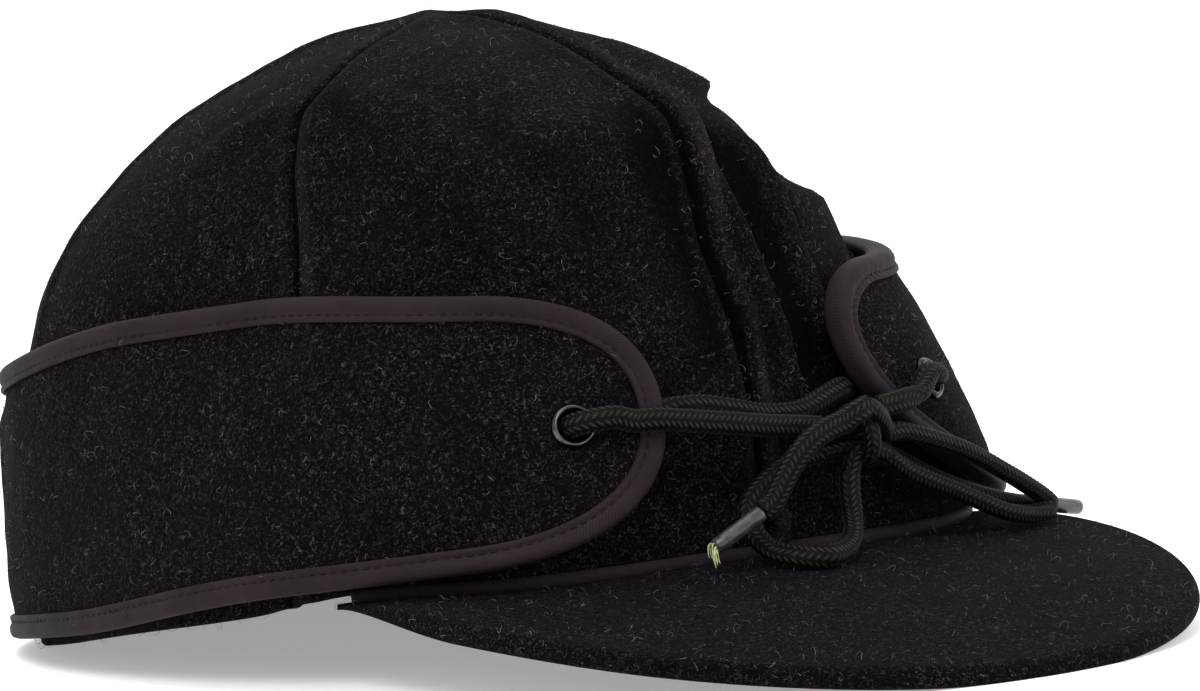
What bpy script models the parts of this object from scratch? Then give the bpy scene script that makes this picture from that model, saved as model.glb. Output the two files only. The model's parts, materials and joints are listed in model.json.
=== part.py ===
"""Soft six-panel wool cap with a stiff visor, a tied ear band and a lace bow.

Metres, +Z up. The front of the cap faces -Y and the wearer's left is +X.
Every piece is modelled in the cap's own frame, whose z = 0 is the ear band's
lower edge, and then leans back as the cap rests on its visor and its back.
"""
import math
from collections import namedtuple

import bmesh
import bpy
from mathutils import Matrix, Vector

# Fits
GAP = 0.0003                    # clearance between pieces that touch
REST_SINK = 0.00056             # how much the cloth is flattened where the cap rests

# Crown
CROWN_HALF_LENGTH = 0.0967      # base outline, front and back
CROWN_HALF_WIDTH = 0.0918       # base outline, to each side
CROWN_SQUARENESS = 2.4          # exponent of the base outline, 2 is an ellipse
CROWN_HEIGHT = 0.1155
CROWN_WALL = 0.003
PANEL_COUNT = 6
PANEL_PUFF = 0.0016             # how far a panel swells between its seams
PUFF_START = 0.45               # share of the height where the band lets it swell
CROWN_SIDES = 72
CROWN_LEVELS = 13

# Visor
VISOR_SPREAD = 54.0             # degrees from the front to each corner
VISOR_LENGTH = 0.080
VISOR_ROUNDNESS = 2.22          # higher is a squarer front outline
VISOR_FORWARD = 0.45            # share of straight ahead in the direction it grows
VISOR_DROP = 0.0240
VISOR_DROP_CURVE = 1.6          # how soon the drop dies out towards the corners
VISOR_THICKNESS = 0.0042
VISOR_TUCK = 0.0033             # margin under the crown's wall
VISOR_CORNER = 0.0035           # how far it shows at its corners
VISOR_CROWNING = 0.0012         # rise of its upper face midway
VISOR_STEPS = 28

# Seam tape between the crown and the visor
WELT_HEIGHT = 0.0010
WELT_PROUD = 0.0014
WELT_OVERRUN = 2.0              # degrees past the visor's corners

# Ear band and its piping
BAND_HEIGHT = 0.058
BAND_END_HEIGHT = 0.0515
BAND_BACK_HEIGHT = 0.0520       # of its upper edge at the back
BAND_DIP = 0.0035               # how far its lower edge hangs towards the back
BAND_WALL = 0.0030
BAND_RIGHT_TIP = -14.2          # degrees from the front
BAND_LEFT_TIP = 13.2
RIGHT_TIP_HEIGHT = 0.0275
LEFT_TIP_HEIGHT = 0.0370
RIGHT_END_ABOVE = 0.034         # length of each rounded end, over and under its tip
RIGHT_END_BELOW = 0.040
LEFT_END_ABOVE = 0.020
LEFT_END_BELOW = 0.068
RIGHT_END_SQUARENESS = 2.25
LEFT_END_SQUARENESS = 1.95
BAND_MEAN_RADIUS = 0.098
BAND_STEPS = 52
BAND_END_STEPS = 8
BAND_ROWS = (0.0, 0.12, 0.5, 0.88, 1.0)     # shares of its height
TAPE = 0.0006
TAPE_GAP = 0.0005                # between the tape and the band's faces
PIPING_WIDTH = 0.0050
PIPING_ROUND = 0.0010

# Eyelets
EYELET_RIGHT = -24.8            # degrees from the front
EYELET_LEFT = 27.0
EYELET_HEIGHT = 0.0248
EYELET_BORE = 0.0031            # radii
EYELET_BARREL = 0.0034
EYELET_FLANGE = 0.0045
EYELET_CROWN = 0.0011           # how far the flange stands proud

# Lace
LACE_DIAMETER = 0.0044
LACE_STEP = 0.0098              # longest distance between the points of its tubes
LACE_HEIGHT = 0.0256            # where it passes behind the band's ends
KNOT_CENTRE = (0.0171, -0.1038, 0.0168)
KNOT_RADII = (0.0071, 0.0055, 0.0065)
KNOT_SIDES = 14
KNOT_LEVELS = 8
AGLET_LENGTH = 0.0120
AGLET_RADIUS = 0.0016
AGLET_TIP = 0.0007              # radius of its end face

# Crown sections: shares of the height, then of the base outline's radius at the
# front, over the wearer's left and right front seams, and all round the back
Section = namedtuple("Section", "height front left right back")
CROWN_SECTIONS = [
    Section(0.00, 0.970, 0.985, 0.985, 0.975),
    Section(0.07, 0.978, 0.965, 0.968, 0.972),
    Section(0.15, 0.982, 0.940, 0.942, 0.966),
    Section(0.24, 0.976, 0.884, 0.908, 0.958),
    Section(0.36, 0.948, 0.822, 0.858, 0.944),
    Section(0.48, 0.905, 0.785, 0.816, 0.920),
    Section(0.60, 0.858, 0.712, 0.768, 0.861),
    Section(0.72, 0.795, 0.575, 0.718, 0.750),
    Section(0.82, 0.600, 0.500, 0.625, 0.604),
    Section(0.90, 0.415, 0.325, 0.430, 0.425),
    Section(0.96, 0.180, 0.185, 0.205, 0.240),
    Section(1.00, 0.000, 0.000, 0.000, 0.000),
]

# Folds and dents of the crown: degrees from the front at their lower and upper
# end, shares of the height there, rise as a share of the wall, spread in degrees
Fold = namedtuple("Fold", "low_azimuth high_azimuth low high rise spread")
CROWN_FOLDS = [
    Fold(7.8, 4.6, 0.20, 0.76, 0.85, 3.6),
    Fold(15.2, 15.2, 0.20, 0.66, 0.80, 3.6),
    Fold(11.6, 9.6, 0.20, 0.72, -0.55, 3.4),
    Fold(22.0, 21.0, 0.77, 0.90, 0.60, 8.0),
    Fold(36.0, 32.0, 0.59, 0.77, -3.10, 12.0),
    Fold(-36.0, -42.0, 0.50, 0.92, 0.35, 8.0),
    Fold(-16.5, -17.5, 0.06, 0.32, -0.95, 11.0),
    Fold(18.5, 18.5, 0.06, 0.32, -1.30, 12.0),
]

# The crown's lower edge and the ear band by degrees away from the front: height
# of the crown's hem, how far the band stands off the crown's base and leans in
# over its height on the right and on the left, all as shares of the band's height
Around = namedtuple("Around", "azimuth hem stand lean left_lean")
ALL_ROUND = [
    Around(0.0, -0.048, 0.100, 0.150, 0.150),
    Around(30.0, -0.046, 0.098, 0.200, 0.275),
    Around(52.0, -0.020, 0.076, 0.308, 0.390),
    Around(66.0, -0.056, 0.060, 0.322, 0.356),
    Around(90.0, -0.072, 0.038, 0.178, 0.200),
    Around(120.0, -0.092, 0.034, 0.100, 0.100),
    Around(150.0, -0.060, 0.028, 0.096, 0.096),
    Around(180.0, -0.030, 0.028, 0.090, 0.090),
]
BAND_BASE_FRONT = 0.985         # the band's base as a share of the crown's outline
BAND_BASE_BACK = 0.975
BAND_LEAN_CURVE = 1.4           # exponent of the lean over the band's height

# Lace through an eyelet: towards the band's tip, and outwards from its inner face
EYELET_TURN = [
    (0.0078, 0.0072), (0.0042, 0.0076), (0.0012, 0.0064), (-0.0004, 0.0039), (-0.0006, 0.0015),
    (-0.0005, -0.0009), (0.0006, -0.0033), (0.0030, -0.0044), (0.0065, -0.0044),
]
# Over the band's ends: azimuth, height and distance outwards from its inner face
OVER_RIGHT_END = [(-18.5, 0.0250, 0.0068), (-15.2, 0.0245, 0.0070)]
OVER_LEFT_END = [(20.0, 0.0230, 0.0074), (16.5, 0.0222, 0.0075)]
# Free stretches and the bow, in the cap's frame
FROM_KNOT_RIGHTWARDS = [
    (0.0084, -0.1036, 0.0190), (0.0044, -0.1037, 0.0196), (-0.0038, -0.1042, 0.0206),
    (-0.0123, -0.1046, 0.0219),
]
ACROSS = [
    (-0.0209, -0.0943, 0.0264), (-0.0142, -0.0960, 0.0262), (-0.0067, -0.0973, 0.0245),
    (0.0001, -0.0978, 0.0228), (0.0086, -0.0980, 0.0226), (0.0159, -0.0968, 0.0247),
    (0.0215, -0.0950, 0.0260),
]
TO_KNOT_FROM_LEFT = [(0.0240, -0.1032, 0.0214)]
LOOP_RIGHT = [
    (0.0102, -0.1008, 0.0143), (0.0078, -0.1004, 0.0142), (0.0041, -0.1002, 0.0133),
    (-0.0016, -0.0996, 0.0105), (-0.0060, -0.0988, 0.0071), (-0.0078, -0.0988, 0.0038),
    (-0.0077, -0.1003, -0.0003), (-0.0064, -0.1034, -0.0035), (-0.0040, -0.1078, -0.0051),
    (0.0010, -0.1104, -0.0057), (0.0067, -0.1084, -0.0052), (0.0114, -0.1056, -0.0031),
    (0.0137, -0.1037, 0.0008), (0.0140, -0.1035, 0.0053), (0.0142, -0.1036, 0.0080),
    (0.0146, -0.1036, 0.0094),
]
LOOP_LEFT = [
    (0.0248, -0.1034, 0.0162), (0.0290, -0.1030, 0.0162), (0.0360, -0.1022, 0.0143),
    (0.0455, -0.1004, 0.0112), (0.0530, -0.0983, 0.0081), (0.0575, -0.0974, 0.0058),
    (0.0622, -0.0960, 0.0036), (0.0668, -0.0946, 0.0013), (0.0706, -0.0935, -0.0008),
    (0.0722, -0.0934, -0.0024), (0.0700, -0.0946, -0.0037), (0.0645, -0.0960, -0.0040),
    (0.0565, -0.0981, -0.0026), (0.0490, -0.0990, 0.0005), (0.0423, -0.0998, 0.0034),
    (0.0355, -0.1012, 0.0058), (0.0290, -0.1025, 0.0086), (0.0236, -0.1040, 0.0118),
]
TAIL_RIGHT = [
    (0.0156, -0.1102, 0.0220), (0.0125, -0.1108, 0.0211), (0.0091, -0.1101, 0.0196),
    (0.0049, -0.1102, 0.0185), (0.0010, -0.1102, 0.0169), (-0.0022, -0.1097, 0.0144),
    (-0.0046, -0.1090, 0.0114), (-0.0068, -0.1083, 0.0082), (-0.0086, -0.1077, 0.0057),
    (-0.0107, -0.1072, 0.0044),
]
AGLET_RIGHT_END = (-0.0214, -0.1048, -0.0012)
TAIL_LEFT = [
    (0.0226, -0.0993, 0.0151), (0.0282, -0.0964, 0.0133), (0.0330, -0.0948, 0.0111),
    (0.0415, -0.0935, 0.0070), (0.0480, -0.0925, 0.0042), (0.0545, -0.0917, 0.0018),
    (0.0620, -0.0903, -0.0004), (0.0690, -0.0888, -0.0019), (0.0736, -0.0880, -0.0023),
]
AGLET_LEFT_END = (0.0840, -0.0866, -0.0041)


def through(values, position):
    """Value at a fractional index of a smooth curve through the values."""
    last = len(values) - 1
    index = min(int(max(position, 0.0)), last - 1)
    t = position - index
    a = values[index - 1] if index > 0 else 2 * values[0] - values[1]
    b, c = values[index], values[index + 1]
    d = values[index + 2] if index + 2 <= last else 2 * values[last] - values[last - 1]
    return b + 0.5 * t * (c - a + t * (2 * a - 5 * b + 4 * c - d + t * (3 * (b - c) + d - a)))


def place_in(values, wanted):
    """Fractional index at which rising values reach the wanted one."""
    for index in range(len(values) - 1):
        if wanted <= values[index + 1]:
            return index + (wanted - values[index]) / (values[index + 1] - values[index])
    return float(len(values) - 1)


def ease(t):
    t = min(max(t, 0.0), 1.0)
    return t * t * (3.0 - 2.0 * t)


def wrapped(azimuth):
    return (azimuth + 180.0) % 360.0 - 180.0


def around(field, azimuth):
    rows = [getattr(row, field) for row in ALL_ROUND]
    stops = [row.azimuth for row in ALL_ROUND]
    return through(rows, place_in(stops, abs(wrapped(azimuth)))) * BAND_HEIGHT


def on_ring(azimuth, radius, z):
    angle = math.radians(azimuth)
    return Vector((radius * math.sin(angle), -radius * math.cos(angle), z))


def base_radius(azimuth):
    angle = math.radians(azimuth)
    side = abs(math.sin(angle)) / CROWN_HALF_WIDTH
    ahead = abs(math.cos(angle)) / CROWN_HALF_LENGTH
    return (side ** CROWN_SQUARENESS + ahead ** CROWN_SQUARENESS) ** (-1.0 / CROWN_SQUARENESS)


def crown_share(azimuth, position):
    """The crown's radius at a section, as a share of the base outline's."""
    azimuth = wrapped(azimuth)
    front, left, right, back = (
        through([getattr(row, field) for row in CROWN_SECTIONS], position)
        for field in ("front", "left", "right", "back"))
    side = left if azimuth > 0 else right
    away = abs(azimuth)
    if away < 60.0:
        return front + (side - front) * ease(away / 60.0)
    return side + (back - side) * ease((away - 60.0) / 60.0)


def crown_relief(azimuth, height):
    """How far the folds, dents and swelling panels move the crown's wall outwards."""
    panel = math.sin(math.radians(azimuth * PANEL_COUNT / 2.0)) ** 2
    swell = ease((height - PUFF_START) / 0.15) * ease((1.0 - height) / 0.12)
    rise = PANEL_PUFF * panel * swell
    for fold in CROWN_FOLDS:
        along = (height - fold.low) / (fold.high - fold.low)
        middle = fold.low_azimuth + (fold.high_azimuth - fold.low_azimuth) * along
        off = wrapped(azimuth - middle) / fold.spread
        length = ease((along + 0.15) / 0.3) * ease((1.15 - along) / 0.3)
        rise += fold.rise * CROWN_WALL * math.exp(-off * off) * length
    return rise


def hem_height(azimuth):
    return around("hem", azimuth)


def crown_point(azimuth, position):
    height = through([row.height for row in CROWN_SECTIONS], position)
    share = max(crown_share(azimuth, position), 0.0)
    radius = base_radius(azimuth) * share
    if share > 0.05:
        radius += crown_relief(azimuth, height)
    hem = hem_height(azimuth) * max(0.0, 1.0 - height / CROWN_SECTIONS[2].height)
    return on_ring(azimuth, radius, height * CROWN_HEIGHT + hem)


def crown_radius(azimuth, z):
    height = min(max(z / CROWN_HEIGHT, 0.0), 1.0)
    position = place_in([row.height for row in CROWN_SECTIONS], height)
    return base_radius(azimuth) * crown_share(azimuth, position) + crown_relief(azimuth, height)


def band_point(azimuth, z, depth):
    """A point of the ear band, at a depth outwards from its inner face."""
    back = ease((abs(wrapped(azimuth)) - 60.0) / 60.0)
    share = BAND_BASE_FRONT + (BAND_BASE_BACK - BAND_BASE_FRONT) * back
    side = "left_lean" if wrapped(azimuth) > 0.0 else "lean"
    lean = around(side, azimuth) * max(z / BAND_HEIGHT, 0.0) ** BAND_LEAN_CURVE
    radius = base_radius(azimuth) * share + around("stand", azimuth) - lean + depth
    return on_ring(azimuth, radius, z)


def band_top(azimuth):
    away = abs(wrapped(azimuth))
    drop = (BAND_HEIGHT - BAND_END_HEIGHT) * (1.0 - ease((away - 20.0) / 45.0))
    return BAND_HEIGHT - drop - (BAND_HEIGHT - BAND_BACK_HEIGHT) * ease((away - 85.0) / 50.0)


def band_bottom(azimuth):
    """Height of the band's lower edge, which hangs a little towards the back."""
    return -BAND_DIP * ease((abs(wrapped(azimuth)) - 58.0) / 42.0)


def band_columns(inset, side_steps, end_steps):
    """Lower and upper ends of the band's columns, from its right tip round to its left.

    Each end is (azimuth, z). The left end's azimuths are counted on past -180.
    """
    degree = BAND_MEAN_RADIUS * math.pi / 180.0
    columns = []

    def add(low_azimuth, high_azimuth, tip_height, share):
        low = band_bottom(low_azimuth) + inset
        high = band_top(high_azimuth) - inset
        columns.append(((low_azimuth, tip_height + (low - tip_height) * share),
                        (high_azimuth, tip_height + (high - tip_height) * share)))

    def add_end(tip, tip_height, lengths, way, squareness, steps):
        for i in steps:
            turn = math.pi / 2.0 * i / end_steps
            back = 1.0 - math.cos(turn) ** (2.0 / squareness)
            low, high = (tip + way * (inset + (length - inset) * back) / degree
                         for length in lengths)
            add(low, high, tip_height, math.sin(turn) ** (2.0 / squareness))

    right, left = (RIGHT_END_BELOW, RIGHT_END_ABOVE), (LEFT_END_BELOW, LEFT_END_ABOVE)
    add_end(BAND_RIGHT_TIP, RIGHT_TIP_HEIGHT, right, -1.0, RIGHT_END_SQUARENESS,
            range(1, end_steps))
    starts = [BAND_RIGHT_TIP - length / degree for length in right]
    ends = [BAND_LEFT_TIP - 360.0 + length / degree for length in left]
    for i in range(side_steps + 1):
        low, high = (start + (end - start) * i / side_steps for start, end in zip(starts, ends))
        add(low, high, 0.0, 1.0)
    add_end(BAND_LEFT_TIP - 360.0, LEFT_TIP_HEIGHT, left, 1.0, LEFT_END_SQUARENESS,
            range(end_steps - 1, 0, -1))
    return columns


def band_outline(inset, side_steps, end_steps):
    """The band's edge as (azimuth, z): lower edge, left tip, upper edge, right tip."""
    columns = band_columns(inset, side_steps, end_steps)
    degree = BAND_MEAN_RADIUS * math.pi / 180.0
    tips = [(BAND_LEFT_TIP - 360.0 + inset / degree, LEFT_TIP_HEIGHT),
            (BAND_RIGHT_TIP - inset / degree, RIGHT_TIP_HEIGHT)]
    lower = [low for low, high in columns]
    upper = [high for low, high in reversed(columns)]
    return lower + tips[:1] + upper + tips[1:]


def visor_reach(azimuth):
    """Share of the visor's full length that it has at this azimuth."""
    return max(0.0, 1.0 - abs(azimuth / VISOR_SPREAD) ** VISOR_ROUNDNESS)


def visor_direction(azimuth):
    step = 0.5
    here = on_ring(azimuth - step, base_radius(azimuth - step), 0.0)
    there = on_ring(azimuth + step, base_radius(azimuth + step), 0.0)
    along = (there - here).normalized()
    outwards = Vector((along.y, -along.x, 0.0))
    return (outwards * (1.0 - VISOR_FORWARD) + Vector((0.0, -VISOR_FORWARD, 0.0))).normalized()


def visor_seat(azimuth):
    """Height of the visor's upper face under the seam tape."""
    return hem_height(azimuth) - WELT_HEIGHT - 2.0 * GAP


def visor_top(azimuth, out):
    """A point of the visor's upper face, at a distance out from the seam."""
    reach = VISOR_LENGTH * visor_reach(azimuth) + VISOR_CORNER
    base = on_ring(azimuth, base_radius(azimuth) * CROWN_SECTIONS[0].front, 0.0)
    point = base + visor_direction(azimuth) * out
    share = max(out, 0.0) / reach
    point.z = visor_seat(azimuth)
    point.z -= VISOR_DROP * share * visor_reach(azimuth) ** VISOR_DROP_CURVE
    point.z += VISOR_CROWNING * 4.0 * share * (1.0 - share) * visor_reach(azimuth)
    return point


def new_object(name, mesh, colour, roughness, metallic=0.0):
    material = bpy.data.materials.new(name)
    material.use_nodes = True
    shader = material.node_tree.nodes["Principled BSDF"]
    shader.inputs["Base Color"].default_value = (*colour, 1.0)
    shader.inputs["Roughness"].default_value = roughness
    shader.inputs["Metallic"].default_value = metallic
    mesh.materials.append(material)
    part = bpy.data.objects.new(name, mesh)
    bpy.context.scene.collection.objects.link(part)
    return part


WOOL = ((0.012, 0.010, 0.012), 0.95)
TAPE_CLOTH = ((0.035, 0.026, 0.030), 0.7)
BRAID = ((0.025, 0.024, 0.021), 0.75)
GUNMETAL = ((0.10, 0.10, 0.11), 0.3, 1.0)
PLASTIC = ((0.015, 0.015, 0.015), 0.25)


def loft(name, rings, finish, closed=False):
    """One solid through rings of equal point counts, capped unless it closes on itself."""
    work = bmesh.new()
    loops = [[work.verts.new(point) for point in ring] for ring in rings]
    count = len(loops[0])
    pairs = list(zip(loops, loops[1:])) + ([(loops[-1], loops[0])] if closed else [])
    for first, second in pairs:
        for i in range(count):
            j = (i + 1) % count
            work.faces.new((first[i], first[j], second[j], second[i]))
    for ring, loop in ((rings[0], loops[0]), (rings[-1], loops[-1])) if not closed else ():
        middle = work.verts.new(sum(ring, Vector()) / count)
        for i in range(count):
            work.faces.new((loop[i], loop[(i + 1) % count], middle))
    return finished(name, work, finish)


def finished(name, work, finish):
    bmesh.ops.triangulate(work, faces=[f for f in work.faces if len(f.verts) > 4])
    bmesh.ops.recalc_face_normals(work, faces=work.faces)
    mesh = bpy.data.meshes.new(name)
    work.to_mesh(mesh)
    work.free()
    mesh.shade_smooth()
    return new_object(name, mesh, *finish)


def cut(target, cutter):
    cutter.hide_render = True
    cutter.display_type = "WIRE"
    boolean = target.modifiers.new("cut_" + cutter.name, "BOOLEAN")
    boolean.operation = "DIFFERENCE"
    boolean.object = cutter


def make_crown():
    levels = [i * (len(CROWN_SECTIONS) - 1) / CROWN_LEVELS for i in range(CROWN_LEVELS)]
    turns = [360.0 * i / CROWN_SIDES for i in range(CROWN_SIDES)]
    outer = [[crown_point(turn, level) for turn in turns] for level in levels]
    apex = Vector((0.0, 0.0, CROWN_HEIGHT))
    inner = []
    for i, ring in enumerate(outer):
        row = []
        for j, point in enumerate(ring):
            along = ring[(j + 1) % CROWN_SIDES] - ring[j - 1]
            below = outer[i - 1][j] if i > 0 else point
            above = outer[i + 1][j] if i + 1 < len(outer) else apex
            normal = along.cross(above - below).normalized()
            if i == 0:
                normal = Vector((normal.x, normal.y, 0.0)).normalized()
            row.append(point - normal * CROWN_WALL)
        inner.append(row)
    work = bmesh.new()
    rings = [[work.verts.new(point) for point in ring] for ring in reversed(inner)]
    rings += [[work.verts.new(point) for point in ring] for ring in outer]
    for first, second in zip(rings, rings[1:]):
        for j in range(CROWN_SIDES):
            k = (j + 1) % CROWN_SIDES
            work.faces.new((first[j], first[k], second[k], second[j]))
    for ring, top in ((rings[0], apex - Vector((0.0, 0.0, CROWN_WALL))), (rings[-1], apex)):
        tip = work.verts.new(top)
        for j in range(CROWN_SIDES):
            work.faces.new((ring[j], ring[(j + 1) % CROWN_SIDES], tip))
    return finished("crown", work, WOOL)


def make_visor():
    rings = []
    edge = VISOR_THICKNESS / 2.0
    rows = 7
    for i in range(VISOR_STEPS + 1):
        azimuth = VISOR_SPREAD * math.sin(math.pi * (i / VISOR_STEPS - 0.5))
        reach = VISOR_LENGTH * visor_reach(azimuth) + VISOR_CORNER
        outs = [-VISOR_TUCK + (reach - edge + VISOR_TUCK) * k / rows for k in range(rows + 1)]
        top = [visor_top(azimuth, out) for out in outs]
        rim = visor_top(azimuth, reach)
        below = Vector((0.0, 0.0, VISOR_THICKNESS))
        ring = top + [
            rim - below * 0.22 - visor_direction(azimuth) * edge * 0.3,
            rim - below * 0.5,
            rim - below * 0.78 - visor_direction(azimuth) * edge * 0.3,
        ] + [point - below for point in reversed(top)]
        rings.append(ring)
    return loft("visor", rings, WOOL)


def make_welt():
    rings = []
    far = VISOR_SPREAD + WELT_OVERRUN
    for i in range(VISOR_STEPS + 1):
        azimuth = far * (2.0 * i / VISOR_STEPS - 1.0)
        outer = base_radius(azimuth) * crown_share(azimuth, 0.0)
        low = hem_height(azimuth) - GAP - WELT_HEIGHT
        high = hem_height(azimuth) - GAP
        proud = outer + WELT_PROUD
        rings.append([
            on_ring(azimuth, outer - CROWN_WALL, low),
            on_ring(azimuth, proud, low),
            on_ring(azimuth, proud + WELT_HEIGHT * 0.3, (low + high) / 2.0),
            on_ring(azimuth, proud, high),
            on_ring(azimuth, outer - CROWN_WALL, high),
        ])
    return loft("visor_welt", rings, TAPE_CLOTH)


def band_frame(azimuth):
    """Matrix with the band's outward normal as Z at an eyelet's place."""
    here = band_point(azimuth, EYELET_HEIGHT, 0.0)
    along = band_point(azimuth + 1.0, EYELET_HEIGHT, 0.0) - here
    up = band_point(azimuth, EYELET_HEIGHT + 0.001, 0.0) - here
    normal = along.cross(up).normalized()
    side = along.normalized()
    frame = Matrix((side, normal.cross(side), normal)).transposed().to_4x4()
    return Matrix.Translation(here) @ frame


def make_band():
    rings = []
    for low, high in band_columns(TAPE + TAPE_GAP, BAND_STEPS, BAND_END_STEPS):
        line = [(low[0] + (high[0] - low[0]) * row, low[1] + (high[1] - low[1]) * row)
                for row in BAND_ROWS]
        ring = [band_point(azimuth, z, BAND_WALL) for azimuth, z in line]
        ring += [band_point(azimuth, z, 0.0) for azimuth, z in reversed(line)]
        rings.append(ring)
    band = loft("ear_band", rings, WOOL)
    for name, azimuth in (("right_hole", EYELET_RIGHT), ("left_hole", EYELET_LEFT)):
        work = bmesh.new()
        bmesh.ops.create_cone(work, cap_ends=True, segments=20, radius1=EYELET_BARREL + GAP,
                              radius2=EYELET_BARREL + GAP, depth=BAND_WALL * 4.0)
        work.transform(band_frame(azimuth))
        cut(band, finished(name, work, WOOL))
    return band


def make_piping():
    outer = BAND_WALL + TAPE_GAP + TAPE
    inner = -TAPE_GAP - TAPE
    profile = [
        (PIPING_WIDTH, outer), (PIPING_ROUND, outer), (0.0, outer - PIPING_ROUND),
        (0.0, inner + PIPING_ROUND), (PIPING_ROUND, inner), (PIPING_WIDTH, inner),
        (PIPING_WIDTH, inner + TAPE), (TAPE, inner + TAPE), (TAPE, outer - TAPE),
        (PIPING_WIDTH, outer - TAPE),
    ]
    outlines = {inset: band_outline(inset, BAND_STEPS, BAND_END_STEPS) for inset, depth in profile}
    count = len(outlines[0.0])
    rings = [[band_point(*outlines[inset][i], depth) for inset, depth in profile]
             for i in range(count)]
    return loft("band_piping", rings, TAPE_CLOTH, closed=True)


def make_eyelet(name, azimuth):
    face = BAND_WALL + GAP * 2.8
    back = -GAP * 2.8
    profile = [
        (EYELET_BORE, face + EYELET_CROWN * 0.7), (EYELET_BORE * 1.2, face + EYELET_CROWN),
        (EYELET_FLANGE * 0.94, face + EYELET_CROWN * 0.6), (EYELET_FLANGE, face),
        (EYELET_BARREL, face), (EYELET_BARREL, back), (EYELET_FLANGE, back),
        (EYELET_FLANGE, back - EYELET_CROWN * 0.4), (EYELET_BORE, back - EYELET_CROWN * 0.4),
    ]
    frame = band_frame(azimuth)
    sides = 20
    rings = []
    for i in range(sides):
        turn = 2.0 * math.pi * i / sides
        rings.append([frame @ Vector((radius * math.cos(turn), radius * math.sin(turn), depth))
                      for radius, depth in profile])
    return loft(name, rings, GUNMETAL, closed=True)


def lace_turn(azimuth, side):
    """The lace's points through an eyelet, side +1 where the tip is towards the left."""
    frame = band_frame(azimuth)
    return [frame @ Vector((side * along, 0.0, depth)) for along, depth in EYELET_TURN]


def behind_band(azimuth):
    """A point midway between the crown and the band's inner face."""
    wall = crown_radius(azimuth, LACE_HEIGHT)
    face = band_point(azimuth, LACE_HEIGHT, -TAPE_GAP - TAPE)
    return on_ring(azimuth, (wall + math.hypot(face.x, face.y)) / 2.0, LACE_HEIGHT)


def across_route():
    right = [band_point(*place) for place in reversed(OVER_RIGHT_END)]
    left = [band_point(*place) for place in OVER_LEFT_END]
    route = [Vector(point) for point in FROM_KNOT_RIGHTWARDS] + right
    route += lace_turn(EYELET_RIGHT, 1.0) + [behind_band(-19.5), behind_band(-15.6)]
    route += [Vector(point) for point in ACROSS] + [behind_band(15.6), behind_band(19.5)]
    route += list(reversed(lace_turn(EYELET_LEFT, -1.0)))
    return route + left + [Vector(point) for point in TO_KNOT_FROM_LEFT]


def smooth_route(route):
    """Points along a smooth curve through the route, no further apart than a step."""
    route = [Vector(point) for point in route]
    points = []
    for i in range(len(route) - 1):
        count = max(1, math.ceil((route[i + 1] - route[i]).length / LACE_STEP))
        for k in range(count):
            position = i + k / count
            points.append(Vector([through([point[axis] for point in route], position)
                                  for axis in range(3)]))
    return points + [route[-1]]


def make_lace(name, route):
    points = smooth_route(route)
    curve = bpy.data.curves.new(name, "CURVE")
    curve.dimensions = "3D"
    curve.bevel_depth = LACE_DIAMETER / 2.0
    curve.bevel_resolution = 2
    curve.use_fill_caps = True
    spline = curve.splines.new("POLY")
    spline.points.add(len(points) - 1)
    for entry, point in zip(spline.points, points):
        entry.co = (*point, 1.0)
    return new_object(name, curve, *BRAID)


def make_knot():
    rings = []
    for i in range(1, KNOT_LEVELS):
        lift = math.pi * i / KNOT_LEVELS
        ring = []
        for j in range(KNOT_SIDES):
            turn = 2.0 * math.pi * j / KNOT_SIDES
            ring.append(Vector(KNOT_CENTRE) + Vector((
                KNOT_RADII[0] * math.sin(lift) * math.cos(turn),
                KNOT_RADII[1] * math.sin(lift) * math.sin(turn),
                KNOT_RADII[2] * math.cos(lift))))
        rings.append(ring)
    return loft("bow_knot", rings, BRAID)


def make_aglet(name, start, end):
    """A sleeve from the end of a tail's tube to its own end."""
    start, end = Vector(start), Vector(end)
    ahead = (end - start).normalized()
    start = start + ahead * GAP * 1.5
    sideways = ahead.orthogonal().normalized()
    across = ahead.cross(sideways)
    rings = []
    for along, radius in ((0.0, AGLET_RADIUS), (AGLET_LENGTH - AGLET_RADIUS, AGLET_RADIUS),
                          (AGLET_LENGTH, AGLET_TIP)):
        rings.append([start + ahead * along + radius * (sideways * math.cos(turn)
                      + across * math.sin(turn))
                      for turn in (math.pi * i / 6.0 for i in range(12))])
    return loft(name, rings, PLASTIC)


def rest_on_floor(pieces, cords):
    """Lean the cap back onto its visor and its back edge, and flatten what rests."""
    reach = VISOR_LENGTH + VISOR_CORNER - VISOR_THICKNESS / 2.0
    front = visor_top(0.0, reach) - Vector((0.0, 0.0, VISOR_THICKNESS))
    back = band_point(180.0, band_bottom(180.0), BAND_WALL + TAPE_GAP + TAPE - PIPING_ROUND)
    lean = Matrix.Rotation(-math.atan2(back.z - front.z, back.y - front.y), 4, "X")
    points = [lean @ vertex.co for piece in pieces for vertex in piece.data.vertices]
    middle = [(min(p[axis] for p in points) + max(p[axis] for p in points)) / 2.0
              for axis in (0, 1)]
    pose = bpy.data.objects.new("rest_pose", None)
    bpy.context.scene.collection.objects.link(pose)
    pose.rotation_euler = lean.to_euler()
    pose.location = (-middle[0], -middle[1], -(lean @ front).z - REST_SINK)
    for item in pieces + cords:
        item.parent = pose
    work = bmesh.new()
    bmesh.ops.create_cube(work, size=1.0)
    work.transform(Matrix.Translation((0.0, 0.0, -0.5)))
    floor = finished("floor_block", work, WOOL)
    for piece in pieces:
        if piece.name in ("visor", "ear_band", "band_piping"):
            cut(piece, floor)


def clear_scene():
    for item in list(bpy.data.objects):
        bpy.data.objects.remove(item, do_unlink=True)


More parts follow.
